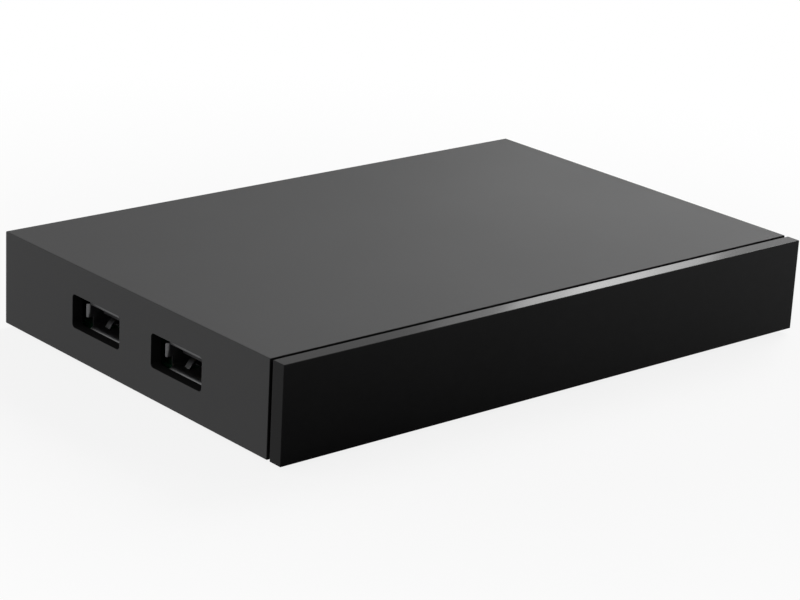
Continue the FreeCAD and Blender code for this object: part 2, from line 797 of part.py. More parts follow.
def light_pipe():
    front = "plateau_front + light_pipe_gap"
    flange_end = "inner_front + light_pipe_flange"
    fuse("light_pipe", [
        rod("pipe_rod", "y", "led_x", (front, "board_front - light_pipe_gap"), "led_z",
            "light_pipe_radius"),
        box("pipe_flange", beside("led_x", "light_pipe_collar"), ("inner_front", flange_end),
            beside("led_z", "light_pipe_collar - insert_play")),
        box("pipe_chin", beside("led_x", "light_pipe_radius"),
            (flange_end, "board_front - light_pipe_gap"), ("board_high + fit_play", "led_z"))])


def case_screws():
    # countersunk screws that the rear feet cover
    screws = []
    for number, (x, y) in enumerate(screw_places, 1):
        name = "case_screw_%d" % number
        screws.append(fuse(name, [
            rod(name + "_head", "z", x, y, ("head_low", "head_high"), "screw_head_radius",
                "screw_radius"),
            rod(name + "_shank", "z", x, y,
                ("head_low + root_depth", "boss_low + screw_grip - screw_tip_play"),
                "screw_radius")]))
    group("case_screws", screws)


def board_fixings():
    # pan head screws that hold the board to its standoffs
    screws = []
    for number, (x, y) in enumerate(board_screws, 1):
        name = "board_screw_%d" % number
        screws.append(fuse(name, [
            rod(name + "_head", "z", x, y, ("board_high", "board_high + board_screw_head_height"),
                "board_screw_head"),
            rod(name + "_shank", "z", x, y,
                ("board_high - board_screw_length", "board_high + root_depth"),
                "board_screw_radius")]))
    group("board_screws", screws)


def rubber_feet():
    group("rubber_feet", [rod("foot_%d" % number, "z", x, y, ("0", "body_low"), "foot_radius")
                          for number, (x, y) in enumerate(foot_places, 1)])


# Board

def shell_legs():
    # where the socket shells' legs pass the board, each as its (x, y) spans
    spans = []
    for y in side_sockets.values():
        for start in ("side_back - leg_length * 2", "side_root + leg_length"):
            for low, high in (("%s - side_half" % y, "%s - side_half + sheet" % y),
                              ("%s + side_half - sheet" % y, "%s + side_half" % y)):
                spans.append(((start, start + " + leg_length"), (low, high)))
    reach = "(video_opening_width / 2 + sheet)"
    for start in ("video_back + leg_length", "video_back + leg_length + video_leg_pitch"):
        for low, high in (("video_x - " + reach, "video_x - %s + sheet" % reach),
                          ("video_x + %s - sheet" % reach, "video_x + " + reach)):
            spans.append(((low, high), (start, start + " + leg_length")))
    return spans


def grown(span, margin):
    return ("%s - %s" % (span[0], margin), "%s + %s" % (span[1], margin))


def main_board():
    body = new_body("main_board")
    add(body, "board_plate", "XY", ("board_low", "board_high"),
        lambda drawing: rectangle(drawing, ("-board_x", "board_x"), ("board_front", "board_rear")))
    # corner notches clear the bosses, and a notch takes the sunk network socket
    remove(body, "board_notches", "XY", ("board_low", "board_high"),
           lambda drawing: [rectangle(drawing, across, up)
                            for across in (("-board_x - cut_margin", "board_notch - foot_x"),
                                           ("foot_x - board_notch", "board_x + cut_margin"))
                            for up in (("board_front - cut_margin", "front_foot_y + board_notch"),
                                       ("rear_foot_y - board_notch", "board_rear + cut_margin"))])
    remove(body, "network_notch", "XY", ("board_low", "board_high"),
           lambda drawing: rectangle(drawing, beside("network_x", "network_width / 2 + fit_play"),
                                     ("network_back - fit_play", "board_rear + cut_margin")))
    remove(body, "board_holes", "XY", ("board_low", "board_high"),
           lambda drawing: [circle(drawing, x, y, "board_screw_radius + screw_play")
                            for x, y in board_screws])
    remove(body, "leg_slots", "XY", ("board_low", "board_high"),
           lambda drawing: [rectangle(drawing, grown(x, "leg_play"), grown(y, "leg_play"))
                            for x, y in shell_legs()])
    remove(body, "sink_pin_holes", "XY", ("board_low", "board_high"),
           lambda drawing: [circle(drawing, x, y, "sink_pin_radius + fit_play")
                            for x, y in sink_pins()])


def on_board(name, x, y, width, depth, height, lift="0"):
    low = "board_high + " + lift
    return box(name, beside(x, "%s / 2" % width), beside(y, "%s / 2" % depth),
               (low, "%s + %s" % (low, height)))


def processor():
    substrate = on_board("processor_substrate", "processor_x", "processor_y", "processor_size",
                         "processor_size", "processor_thickness / 2")
    lid_size = "(processor_size - processor_lid_margin)"
    lid = on_board("processor_lid", "processor_x", "processor_y", lid_size, lid_size,
                   "processor_thickness")
    fuse("processor", [substrate, lid])
    box("thermal_pad", beside("processor_x", lid_size + " / 2"),
        beside("processor_y", lid_size + " / 2"), ("processor_top", "sink_low"))


def sink_pins():
    reach = "sink_width / 2 - sink_pin_inset"
    return [("processor_x - (%s)" % reach, "processor_y"), ("processor_x + " + reach, "processor_y")]


def heat_sink():
    # an extruded comb: the fins stand on the plate and run front to back
    body = new_body("heat_sink")
    left, right = beside("processor_x", "sink_width / 2")
    front, rear = beside("processor_y", "sink_depth / 2")
    top = "sink_low + sink_height"
    add(body, "sink_plate_pad", "XZ", (front, rear),
        lambda drawing: rectangle(drawing, (left, right), ("sink_low", "sink_seat")))
    fin = add(body, "first_fin", "XZ", (front, rear),
              lambda drawing: rectangle(drawing, (left, left + " + sink_fin_thickness"),
                                        ("sink_seat - root_depth", top)))
    row = body.newObject("PartDesign::LinearPattern", "fin_row")
    row.Originals = [fin]
    row.Direction = (origin_feature(body, "X_Axis"), [""])
    fins = int(value("(sink_width - sink_fin_thickness) / sink_fin_pitch")) + 1
    bind(row, "Length", "sink_fin_pitch * %d" % (fins - 1))
    row.Occurrences = fins
    body.Tip = row
    remove(body, "sink_pin_wells", "XY", ("sink_low", top),
           lambda drawing: [circle(drawing, x, y, "sink_pin_radius + fit_play")
                            for x, y in sink_pins()])
    remove(body, "sink_head_wells", "XY", ("sink_seat", top),
           lambda drawing: [rectangle(drawing, beside(x, "sink_pin_head + sink_pin_well_play"),
                                      beside(y, "sink_pin_head + sink_pin_well_play"))
                            for x, y in sink_pins()])


def sink_push_pins():
    pins = []
    barb_high = "board_low - sink_pin_barb_gap"
    for number, (x, y) in enumerate(sink_pins(), 1):
        name = "push_pin_%d" % number
        pins.append(fuse(name, [
            rod(name + "_head", "z", x, y, ("sink_seat", "sink_seat + sink_pin_head_height"),
                "sink_pin_head"),
            rod(name + "_shank", "z", x, y,
                (barb_high + " - sink_pin_barb_height", "sink_seat + root_depth"),
                "sink_pin_radius"),
            box(name + "_barb", beside(x, "sink_pin_barb_reach"),
                beside(y, "sink_pin_barb_width / 2"),
                (barb_high + " - sink_pin_barb_height", barb_high))]))
    group("heat_sink_pins", pins)


def chips():
    group("memory_chips", [on_board("memory_%d" % number, "memory_x", y, "chip_width",
                                    "chip_depth", "chip_thickness")
                           for number, y in enumerate(beside("processor_y", "memory_gap / 2"), 1)])
    on_board("flash_chip", "flash_x", "flash_y", "chip_depth", "chip_width", "chip_thickness")


def power_parts():
    coils = []
    for number in range(3):
        name = "inductor_%d" % (number + 1)
        y = "inductor_y + inductor_pitch * %d" % (number - 1)
        ferrite = on_board(name + "_ferrite", "inductor_x", y, "inductor_size",
                           "inductor_size", "inductor_height")
        crown_size = "(inductor_size - inductor_crown_inset * 2)"
        crown = on_board(name + "_crown", "inductor_x", y, crown_size, crown_size,
                         "inductor_height + inductor_crown")
        coils.append(fuse(name, [ferrite, crown]))
    group("power_inductors", coils)
    cans = []
    for number in range(3):
        name = "capacitor_%d" % (number + 1)
        x = "capacitor_x + capacitor_pitch * %d" % (number - 1)
        cans.append(fuse(name, [
            on_board(name + "_base", x, "capacitor_y", "(capacitor_radius * 2)",
                     "(capacitor_radius * 2)", "capacitor_base"),
            rod(name + "_can", "z", x, "capacitor_y",
                ("board_high + capacitor_base - root_depth", "board_high + capacitor_height"),
                "capacitor_radius - insert_play")]))
    group("electrolytic_capacitors", cans)


def line_transformer():
    body = on_board("transformer_case", "network_x", "transformer_y", "transformer_width",
                    "transformer_depth", "transformer_height", "transformer_lift")
    leads = []
    for side in (-1, 1):
        edge = "transformer_y + %d * transformer_depth / 2" % side
        tip = "%s + %d * lead_reach" % (edge, side)
        root = "%s - %d * lead_width" % (edge, side)
        reach = (root, tip) if side > 0 else (tip, root)
        for number in range(8):
            x = "network_x + lead_pitch * %.1f" % (number - 3.5)
            leads.append(box("transformer_lead_%d_%d" % (side + 1, number),
                             beside(x, "lead_width / 2"), reach,
                             ("board_high", "board_high + lead_thickness")))
    fuse("line_transformer", [body] + leads)


def clock_crystals():
    spots = [("main_crystal_x", "main_crystal_y"), ("radio_x", "radio_y - radio_crystal_gap")]
    group("clock_crystals", [on_board("crystal_%d" % number, x, y, "crystal_width",
                                      "crystal_depth", "crystal_height")
                             for number, (x, y) in enumerate(spots, 1)])


def radio_parts():
    on_board("radio_module", "radio_x", "radio_y", "radio_width", "radio_depth", "radio_board")
    outer = on_board("radio_can_block", "radio_x", "radio_y", "(radio_width - radio_can_margin)",
                     "(radio_depth - radio_can_margin)", "radio_can_height", "radio_board")
    inner_x = beside("radio_x", "(radio_width - radio_can_margin) / 2 - sheet")
    inner_y = beside("radio_y", "(radio_depth - radio_can_margin) / 2 - sheet")
    hollow = box("radio_can_hollow", inner_x, inner_y,
                 ("board_high + radio_board", "board_high + radio_board + radio_can_height - sheet"))
    cut("radio_shield_can", outer, [hollow])
    # two bent strips stand on the board's right edge as antennas
    strips = []
    outer_x = "board_x - antenna_margin"
    for number, y in enumerate(("rear_antenna_y", "front_antenna_y"), 1):
        name = "antenna_%d" % number
        ends = beside(y, "antenna_length / 2")
        high = "board_high + antenna_height"
        strips.append(fuse(name, [
            box(name + "_wing", (outer_x + " - antenna_wing", outer_x), ends,
                (high + " - sheet", high)),
            box(name + "_post", (outer_x + " - sheet", outer_x),
                (ends[0], ends[0] + " + antenna_foot"), ("board_high", high)),
            box(name + "_feed", (outer_x + " - sheet", outer_x),
                (ends[0] + " + antenna_foot * 2", ends[0] + " + antenna_foot * 3"),
                ("board_high", high)),
            box(name + "_far_post", (outer_x + " - sheet", outer_x),
                (ends[1] + " - antenna_foot", ends[1]), ("board_high", high))]))
    group("radio_antennas", strips)


def front_electronics():
    front = "board_front + receiver_margin"
    back = front + " + receiver_depth"
    block = box("receiver_block", beside("receiver_x", "receiver_width / 2"), (front, back),
                ("board_high + receiver_seat", "board_high + receiver_seat + receiver_height"))
    lens = rod("receiver_dome", "y", "receiver_x",
               ("board_front - receiver_lens_proud", front + " + root_depth"), "window_z",
               "receiver_lens_tip", "receiver_lens")
    legs = [box("receiver_leg_%d" % number,
                beside("receiver_x + receiver_leg_pitch * %d" % (number - 1),
                       "receiver_leg_width / 2"),
                (back + " - receiver_leg_back", back + " - receiver_leg_back / 2"),
                ("board_high", "board_high + receiver_seat + root_depth"))
            for number in range(3)]
    fuse("remote_receiver", [block, lens] + legs)
    led_front = "board_front + led_margin"
    body = box("led_base", beside("led_x", "led_width / 2"),
               (led_front, led_front + " + led_depth * 2"), ("board_high", "board_high + led_height"))
    window = box("led_window", beside("led_x", "led_width / 4"),
                 ("board_front", led_front + " + root_depth"),
                 ("board_high + led_margin", "board_high + led_height - led_margin"))
    fuse("status_led", [body, window])


# Side sockets

def side_shell(place, y):
    # a drawn steel tube with four flared flaps at its mouth, bent spring fingers and legs
    name = place + "_socket_shell"
    body = new_body(name)
    half_y = "side_half"
    outer_y = beside(y, half_y)
    inner_y = beside(y, half_y + " - sheet")
    outer_z = ("side_low", "side_high")
    inner_z = ("side_low + sheet", "side_high - sheet")
    add(body, name + "_tube", "YZ", ("side_root", "side_back"),
        lambda drawing: rectangle(drawing, outer_y, outer_z))
    for kind, y_span, z_span, label in (("Additive", outer_y, outer_z, "flare"),
                                        ("Subtractive", inner_y, inner_z, "throat")):
        root = new_sketch(body, "%s_%s_root" % (name, label), "YZ", "side_root")
        rectangle(root, y_span, z_span)
        lip = new_sketch(body, "%s_%s_lip" % (name, label), "YZ", "side_mouth")
        rectangle(lip, grown(y_span, "flap_flare"), grown(z_span, "flap_flare"))
        loft = body.newObject("PartDesign::%sLoft" % kind, "%s_%s" % (name, label))
        loft.Profile = root
        loft.Sections = [lip]
        loft.Ruled = True
    remove(body, name + "_bore", "YZ", ("side_root", "side_back"),
           lambda drawing: rectangle(drawing, inner_y, inner_z))
    # slits part the flaps at the four corners of the mouth
    slit = "flap_slit"
    outside = "flap_flare + cut_margin"
    remove(body, name + "_slits", "YZ", ("side_mouth - root_depth", "side_root"),
           lambda drawing: [rectangle(drawing, y_span, z_span)
                            for y_span in ((outer_y[0] + " - (%s)" % outside,
                                            inner_y[0] + " + " + slit),
                                           (inner_y[1] + " - " + slit,
                                            outer_y[1] + " + (%s)" % outside))
                            for z_span in (("side_low - (%s)" % outside,
                                            inner_z[0] + " + " + slit),
                                           (inner_z[1] + " - " + slit,
                                            "side_high + " + outside))])
    # windows in floor and roof, each with a finger that springs into the opening
    finger_low = "side_root + finger_start"
    finger_high = finger_low + " + finger_run"
    windows = [beside("%s %s finger_offset" % (y, sign), "finger_width / 2 + finger_slot_play")
               for sign in "-+"]
    remove(body, name + "_windows", "XY", ("side_low", "side_high"),
           lambda drawing: [rectangle(drawing, (finger_low, finger_high + " + finger_slot_play"),
                                      window) for window in windows])
    for sign, side in (("-", "left"), ("+", "right")):
        span = beside("%s %s finger_offset" % (y, sign), "finger_width / 2")
        for up, wall, level in (("+", "floor", "side_low"), ("-", "roof", "side_high")):
            tip = "%s %s %s_finger_rise" % (level, up, wall)
            root = finger_low + " - root_depth"
            profile = [(root, level), (finger_low + " + finger_foot", level),
                       (finger_high, tip), (finger_high, "%s %s sheet" % (tip, up)),
                       (root, "%s %s sheet" % (level, up))]
            add(body, "%s_%s_finger_%s" % (name, wall, side), "XZ", span,
                lambda drawing: outline(drawing, profile))
    for number, start in enumerate(("side_back - leg_length * 2", "side_root + leg_length"), 1):
        for low, side in (("%s - side_half" % y, "near"), ("%s + side_half - sheet" % y, "far")):
            add(body, "%s_leg_%s_%d" % (name, side, number), "XY",
                ("leg_low", "side_middle - leg_shoulder"),
                lambda drawing: rectangle(drawing, (start, start + " + leg_length"),
                                          (low, low + " + sheet")))


def side_contacts(place, y):
    # four strips under the tongue, each with a tail that drops behind the block to the board
    strips = []
    tip = "side_mouth + side_tongue_setback + side_contact_setback"
    drop = "side_back + side_tail_gap"
    tail = drop + " + side_contact_thickness"
    low = "tongue_low - side_contact_thickness"
    for number, offset in enumerate(("-side_contact_outer", "-side_contact_inner",
                                     "side_contact_inner", "side_contact_outer"), 1):
        name = "%s_contact_%d" % (place, number)
        across = beside("%s + %s" % (y, offset), "side_contact_width / 2")
        strips.append(fuse(name, [
            box(name + "_strip", (tip, tail), across, (low, "tongue_low")),
            box(name + "_drop", (drop, tail), across, ("board_high", "tongue_low")),
            box(name + "_foot", (drop, tail + " + side_contact_foot"), across,
                ("board_high", "board_high + side_contact_thickness"))]))
    return group(place + "_socket_contacts", strips)


def side_insulator(place, y, contacts):
    name = place + "_socket_tongue"
    block = box(name + "_block", ("side_back - side_block", "side_back - insert_play"),
                beside(y, "side_half - sheet - insert_play"),
                ("side_low + sheet + insert_play", "side_high - sheet - insert_play"))
    tongue = box(name + "_blade",
                 ("side_mouth + side_tongue_setback", "side_back - side_block + root_depth"),
                 beside(y, "side_tongue_width / 2"),
                 ("tongue_low", "tongue_low + side_tongue_thickness"))
    cut(name, fuse(name + "_plain", [block, tongue]), [contacts])


# Rear sockets

def video_socket():
    body = new_body("video_socket_shell")
    add(body, "video_tube", "XZ", ("video_back", "port_face"),
        lambda drawing: outline(drawing, video_profile("sheet")))
    remove(body, "video_bore", "XZ", ("video_back + sheet", "port_face"),
           lambda drawing: outline(drawing, video_profile("0")))
    reach = "(video_opening_width / 2 + sheet)"
    for number, start in enumerate(("video_back + leg_length",
                                    "video_back + leg_length + video_leg_pitch"), 1):
        for low, side in (("video_x - " + reach, "left"), ("video_x + %s - sheet" % reach, "right")):
            add(body, "video_leg_%s_%d" % (side, number), "XY",
                ("leg_low", "video_middle + leg_shoulder / 2"),
                lambda drawing: rectangle(drawing, (low, low + " + sheet"),
                                          (start, start + " + leg_length")))
    # a row of ten contacts under the tongue and nine over it
    tongue = beside("video_middle + video_tongue_lift", "video_tongue_thickness / 2")
    along = ("video_back + sheet + video_contact_back",
             "port_face - video_tongue_setback - video_contact_setback")
    contacts = []
    for row, count, height in (("low", 10, (tongue[0], tongue[0] + " + video_contact_thickness")),
                               ("high", 9, (tongue[1] + " - video_contact_thickness", tongue[1]))):
        for number in range(count):
            x = "video_x + video_contact_pitch * %.1f" % (number - (count - 1) / 2)
            contacts.append(box("video_contact_%s_%d" % (row, number),
                                beside(x, "video_contact_width / 2"), along, height))
    strips = group("video_socket_contacts", contacts)
    insert = new_body("video_insert")
    block_front = "video_back + sheet + video_block"
    add(insert, "video_block_pad", "XZ", ("video_back + sheet + insert_play", block_front),
        lambda drawing: outline(drawing, video_profile("(-insert_play)")))
    blade = box("video_blade", beside("video_x", "video_tongue_width / 2"),
                (block_front + " - root_depth", "port_face - video_tongue_setback"), tongue)
    cut("video_socket_tongue", fuse("video_insert_plain", [insert, blade]), [strips])


def network_socket():
    # a sunk jack: moulded body in a bent shield, open at its mouth
    half = "network_width / 2"
    inner_x = beside("network_x", half + " - sheet")
    block = box("network_shield_block", beside("network_x", half), ("network_back", "port_face"),
                ("network_low", "network_high"))
    hollow = box("network_shield_hollow", inner_x,
                 ("network_back + sheet", "port_face + cut_margin"),
                 ("network_low - cut_margin", "network_high - sheet"))
    along = ("network_back + network_tab_back",
             "network_back + network_tab_back + network_tab_length")
    # tabs reach through the board's notch, and flanges lie on the board beside it
    bends = []
    for name, left, right in (("left", "network_x - " + half, "network_x - %s + sheet" % half),
                              ("right", "network_x + %s - sheet" % half, "network_x + " + half)):
        bends.append(box("network_tab_" + name, (left, right), along,
                         ("board_low - leg_proud", "network_low + network_tab_back")))
        outward = ((left + " - network_flange", right) if name == "left"
                   else (left, right + " + network_flange"))
        bends.append(box("network_flange_" + name, outward, along,
                         ("board_high", "board_high + sheet")))
    fuse("network_socket_shield", [cut("network_shield_shell", block, [hollow])] + bends)
    body = new_body("network_socket_body")
    add(body, "network_block", "XZ", ("network_back + sheet + insert_play", "network_face"),
        lambda drawing: rectangle(drawing, beside("network_x", half + " - sheet - insert_play"),
                                  ("network_low", "network_high - sheet - insert_play")))
    mouth = "network_mouth_width / 2"
    latch = "network_latch_width / 2"
    floor = "network_middle - network_mouth_height / 2"
    roof = "network_middle + network_mouth_height / 2"
    keel = floor + " - network_latch_depth"
    back = "port_face - network_mouth_depth"
    remove(body, "network_mouth", "XZ", (back, "network_face"),
           lambda drawing: outline(drawing, [("network_x - " + mouth, roof),
                                             ("network_x - " + mouth, floor),
                                             ("network_x - " + latch, floor),
                                             ("network_x - " + latch, keel),
                                             ("network_x + " + latch, keel),
                                             ("network_x + " + latch, floor),
                                             ("network_x + " + mouth, floor),
                                             ("network_x + " + mouth, roof)]))
    # eight wires slope down from the roof of the mouth towards its back
    wires = []
    front = "port_face - network_contact_setback"
    thick = "network_contact_thickness"
    drop = "network_contact_drop"
    slope = [(front, roof), (front, "%s - %s" % (roof, thick)),
             (back, "%s - %s - %s" % (roof, drop, thick)), (back, "%s - %s" % (roof, drop)),
             ("%s - %s" % (front, thick), roof)]
    for number in range(8):
        x = "network_x + network_contact_pitch * %.1f" % (number - 3.5)
        wire = new_body("network_wire_%d" % number)
        add(wire, "network_wire_pad_%d" % number, "YZ", beside(x, "network_contact_width / 2"),
            lambda drawing: outline(drawing, slope))
        wires.append(wire)
    group("network_socket_contacts", wires)


def optical_outline(left, right, low, high):
    # the plug's square with its lower corners cut off
    corner = "optical_corner"
    return [(left, "%s + %s" % (low, corner)), ("%s + %s" % (left, corner), low),
            ("%s - %s" % (right, corner), low), (right, "%s + %s" % (low, corner)),
            (right, high), (left, high)]


def optical_socket():
    body = new_body("optical_socket")
    left, right = beside("optical_x", "optical_mouth / 2")
    mouth_end = "port_face - optical_mouth_depth"
    add(body, "optical_block", "XZ", ("port_face - optical_depth", "port_face"),
        lambda drawing: rectangle(drawing, beside("optical_x", "optical_width / 2"),
                                  ("board_high", "optical_high")))
    remove(body, "optical_cavity", "XZ", (mouth_end, "port_face"),
           lambda drawing: outline(drawing, optical_outline(left, right, "optical_mouth_low",
                                                            "optical_mouth_high")))
    reach = "optical_mouth / 2 + shutter_pin_length"
    remove(body, "shutter_bearings", "YZ", beside("optical_x", reach),
           lambda drawing: circle(drawing, "hinge_y", "hinge_z",
                                  "shutter_pin_radius + shutter_pin_play"))
    remove(body, "emitter_well", "XZ", ("emitter_front", mouth_end),
           lambda drawing: circle(drawing, "optical_x", "optical_middle",
                                  "emitter_radius + insert_play"))
    sleeve = rod("emitter_sleeve", "y", "optical_x", ("emitter_front", "emitter_rear"),
                 "optical_middle", "emitter_radius")
    hole = rod("emitter_hole", "y", "optical_x",
               ("emitter_rear - emitter_hole_depth", "emitter_rear + cut_margin"),
               "optical_middle", "emitter_hole_radius")
    cut("optical_emitter", sleeve, [hole])


def optical_shutter():
    # a flap on two pins that the plug swings inwards and up
    body = new_body("optical_shutter")
    half = "optical_mouth / 2 - shutter_play"
    left, right = beside("optical_x", half)
    add(body, "shutter_plate", "XZ", ("shutter_rear - shutter_thickness", "shutter_rear"),
        lambda drawing: outline(drawing, optical_outline(
            left, right, "optical_mouth_low + shutter_play", "hinge_z")))
    pin_reach = "optical_mouth / 2 + shutter_pin_length - fit_play"
    for name, reach in (("shutter_barrel", half), ("shutter_pins", pin_reach)):
        add(body, name, "YZ", beside("optical_x", reach),
            lambda drawing: circle(drawing, "hinge_y", "hinge_z", "shutter_pin_radius"))


def audio_jack():
    block = box("audio_block", beside("audio_x", "audio_width / 2"), ("audio_back", "inner_rear"),
                ("board_high", "board_high + audio_height"))
    nose = rod("audio_nose", "y", "audio_x", ("inner_rear - root_depth", "collar_start"),
               "audio_z", "audio_collar_radius")
    bore = rod("audio_bore_cut", "y", "audio_x", ("port_face - audio_bore_depth", "port_face"),
               "audio_z", "audio_bore")
    cut("audio_jack_body", fuse("audio_plain", [block, nose]), [bore])
    ring = rod("audio_ring_blank", "y", "audio_x", ("collar_start", "port_face"), "audio_z",
               "audio_collar_radius")
    ring_bore = rod("audio_ring_bore", "y", "audio_x",
                    ("collar_start - cut_margin", "port_face + cut_margin"), "audio_z", "audio_bore")
    cut("audio_jack_collar", ring, [ring_bore])


def power_jack():
    block = box("power_block", beside("power_x", "power_width / 2"), ("power_back", "inner_rear"),
                ("board_high", "board_high + power_height"))
    nose = rod("power_nose", "y", "power_x", ("inner_rear - root_depth", "port_face"), "power_z",
               "power_nose_radius")
    bore = rod("power_bore_cut", "y", "power_x", ("power_bore_end", "port_face + cut_margin"),
               "power_z", "power_bore")
    seat = rod("power_pin_seat", "y", "power_x", ("power_back", "power_bore_end"), "power_z",
               "power_pin_root")
    cut("power_jack_body", fuse("power_plain", [block, nose]), [bore, seat])
    # the pin stands in the bore on a thinner root that is riveted through the block
    tip = "power_pin_end - power_pin_tip"
    fuse("power_jack_pin", [
        rod("power_pin_rivet", "y", "power_x", ("power_back", "power_bore_end + root_depth"),
            "power_z", "power_pin_root"),
        rod("power_pin_rod", "y", "power_x", ("power_bore_end", tip), "power_z",
            "power_pin_radius"),
        rod("power_pin_cone", "y", "power_x", (tip, "power_pin_end"), "power_z",
            "power_pin_radius", "power_pin_tip_radius")])


def reset_parts():
    # the key's flange stops it behind the rear wall, and its stem presses the switch
    fuse("reset_button", [
        rod("reset_key", "y", "reset_x", ("collar_rear - root_depth", "reset_face"), "reset_z",
            "reset_key_radius"),
        box("reset_collar", beside("reset_x", "reset_collar_reach"),
            ("collar_front", "collar_rear"), beside("reset_z", "reset_collar_reach")),
        rod("reset_stem", "y", "reset_x", ("stem_end", "collar_front + root_depth"), "reset_z",
            "reset_stem_radius")])
    bore_end = "switch_rear - actuator_sink"
    rod("reset_actuator", "y", "reset_x", (bore_end + " + reset_travel", "stem_end"), "reset_z",
        "actuator_radius")
    block = box("switch_block", beside("reset_x", "switch_width / 2"), ("switch_front", "switch_rear"),
                ("board_high", "board_high + switch_height"))
    bore = rod("switch_bore", "y", "reset_x", (bore_end, "switch_rear + cut_margin"), "reset_z",
               "actuator_radius + actuator_play")
    cut("reset_switch", block, [bore])


upper_housing()
base_cover()
front_panel()
panel_carrier()
light_pipe()
case_screws()
board_fixings()
rubber_feet()
main_board()
processor()
heat_sink()
sink_push_pins()
chips()
power_parts()
line_transformer()
clock_crystals()
radio_parts()
front_electronics()
for place, y in side_sockets.items():
    side_shell(place, y)
    side_insulator(place, y, side_contacts(place, y))
video_socket()
network_socket()
optical_socket()
optical_shutter()
audio_jack()
power_jack()
reset_parts()
document.recompute()

nodes = [
    "upper_housing", "base_cover", "front_panel", "panel_carrier", "light_pipe", "case_screws",
    "board_screws", "rubber_feet", "main_board", "processor", "thermal_pad", "heat_sink",
    "heat_sink_pins", "memory_chips", "flash_chip", "power_inductors", "electrolytic_capacitors",
    "line_transformer", "clock_crystals", "radio_module", "radio_shield_can", "radio_antennas",
    "remote_receiver", "status_led", "rear_socket_shell", "rear_socket_contacts",
    "rear_socket_tongue", "front_socket_shell", "front_socket_contacts", "front_socket_tongue",
    "video_socket_shell", "video_socket_contacts", "video_socket_tongue",
    "network_socket_shield", "network_socket_body", "network_socket_contacts", "optical_socket",
    "optical_emitter", "optical_shutter", "audio_jack_body", "audio_jack_collar",
    "power_jack_body", "power_jack_pin", "reset_button", "reset_actuator", "reset_switch",
]

# Nothing is written unless every object of the document is sound.
for item in document.Objects:
    if {"Invalid", "Error"} & set(item.State):
        raise RuntimeError("%s failed: %s" % (item.Label, item.State))
for node in nodes:
    shape = document.getObject(node).Shape
    if shape.isNull() or not shape.isValid() or not shape.Solids:
        raise RuntimeError("%s has no valid solid" % node)

os.makedirs("parts", exist_ok=True)
for node in nodes:
    document.getObject(node).Shape.exportStep("parts/%s.step" % node)
print("wrote %d parts" % len(nodes))
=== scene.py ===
import json
import math

import bmesh
import bpy
from mathutils import Matrix, Vector


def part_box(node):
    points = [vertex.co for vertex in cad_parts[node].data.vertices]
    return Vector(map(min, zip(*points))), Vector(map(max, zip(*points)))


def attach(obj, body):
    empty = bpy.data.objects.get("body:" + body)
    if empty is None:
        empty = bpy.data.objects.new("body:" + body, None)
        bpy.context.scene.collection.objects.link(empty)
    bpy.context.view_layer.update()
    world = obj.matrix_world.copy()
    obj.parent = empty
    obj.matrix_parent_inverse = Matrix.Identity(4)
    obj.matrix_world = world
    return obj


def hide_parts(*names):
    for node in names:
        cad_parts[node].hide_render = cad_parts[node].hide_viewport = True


# TV decoder box: matte moulded case, gloss front panel, two sockets in the left wall
mm = 0.001
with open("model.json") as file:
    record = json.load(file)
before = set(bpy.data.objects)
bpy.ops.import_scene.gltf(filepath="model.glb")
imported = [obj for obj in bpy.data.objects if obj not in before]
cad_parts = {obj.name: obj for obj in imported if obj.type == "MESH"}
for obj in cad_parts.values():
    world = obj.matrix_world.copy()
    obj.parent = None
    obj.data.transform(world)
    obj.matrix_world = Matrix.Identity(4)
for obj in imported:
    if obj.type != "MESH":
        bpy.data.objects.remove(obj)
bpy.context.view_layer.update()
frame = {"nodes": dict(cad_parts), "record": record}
caseBody, keyBody, shutterBody = "case", "reset_key", "shutter"
smoothAngle = 35  # degrees; a sharper edge stays crisp
bendAngle = 50  # degrees; the facets of a bend or a round are flatter than this
overshoot = 5 * mm  # how far a cutter runs past the face that it opens
print("frame loaded:", len(frame["nodes"]), "nodes")


# Small hand tools

def deselectAll():
    bpy.ops.object.select_all(action='DESELECT')


def newCube(name, low, high):
    deselectAll()
    middle = [(a + b) / 2 for a, b in zip(low, high)]
    size = [b - a for a, b in zip(low, high)]
    bpy.ops.mesh.primitive_cube_add(size=1, location=middle, scale=size)
    piece = bpy.context.object
    piece.name = name
    bpy.ops.object.transform_apply(location=True, rotation=True, scale=True)
    return piece


def newCylinder(name, middle, axis, radius, length, sides=64):
    deselectAll()
    turn = {'Y': (-math.pi / 2, 0, 0), 'Z': (0, 0, 0)}[axis]
    bpy.ops.mesh.primitive_cylinder_add(vertices=sides, radius=radius, depth=length, location=middle,
                                        rotation=turn)
    piece = bpy.context.object
    piece.name = name
    bpy.ops.object.transform_apply(location=True, rotation=True, scale=True)
    return piece


def pick(piece):
    deselectAll()
    piece.select_set(True)
    bpy.context.view_layer.objects.active = piece


def pickParts(piece, kind, wanted):
    # leaves the piece in edit mode with only the wanted vertices, edges or faces selected
    pick(piece)
    bpy.ops.object.mode_set(mode='EDIT')
    bpy.ops.mesh.select_mode(type=kind)
    bpy.ops.mesh.select_all(action='DESELECT')
    mesh = bmesh.from_edit_mesh(piece.data)
    for part in {'VERT': mesh.verts, 'EDGE': mesh.edges, 'FACE': mesh.faces}[kind]:
        part.select = wanted(part)
    bmesh.update_edit_mesh(piece.data)


def pickFaces(piece, wanted):
    pickParts(piece, 'FACE', wanted)


def bevelEdges(piece, width, segments, wanted):
    pickParts(piece, 'EDGE', wanted)
    bpy.ops.mesh.bevel(offset=width, segments=segments, profile=0.5, clamp_overlap=True)
    bpy.ops.object.mode_set(mode='OBJECT')


def edgeAlong(axis):
    number = 'XYZ'.index(axis)

    def wanted(edge):
        run = (edge.verts[1].co - edge.verts[0].co).normalized()
        return abs(run[number]) > 0.99
    return wanted


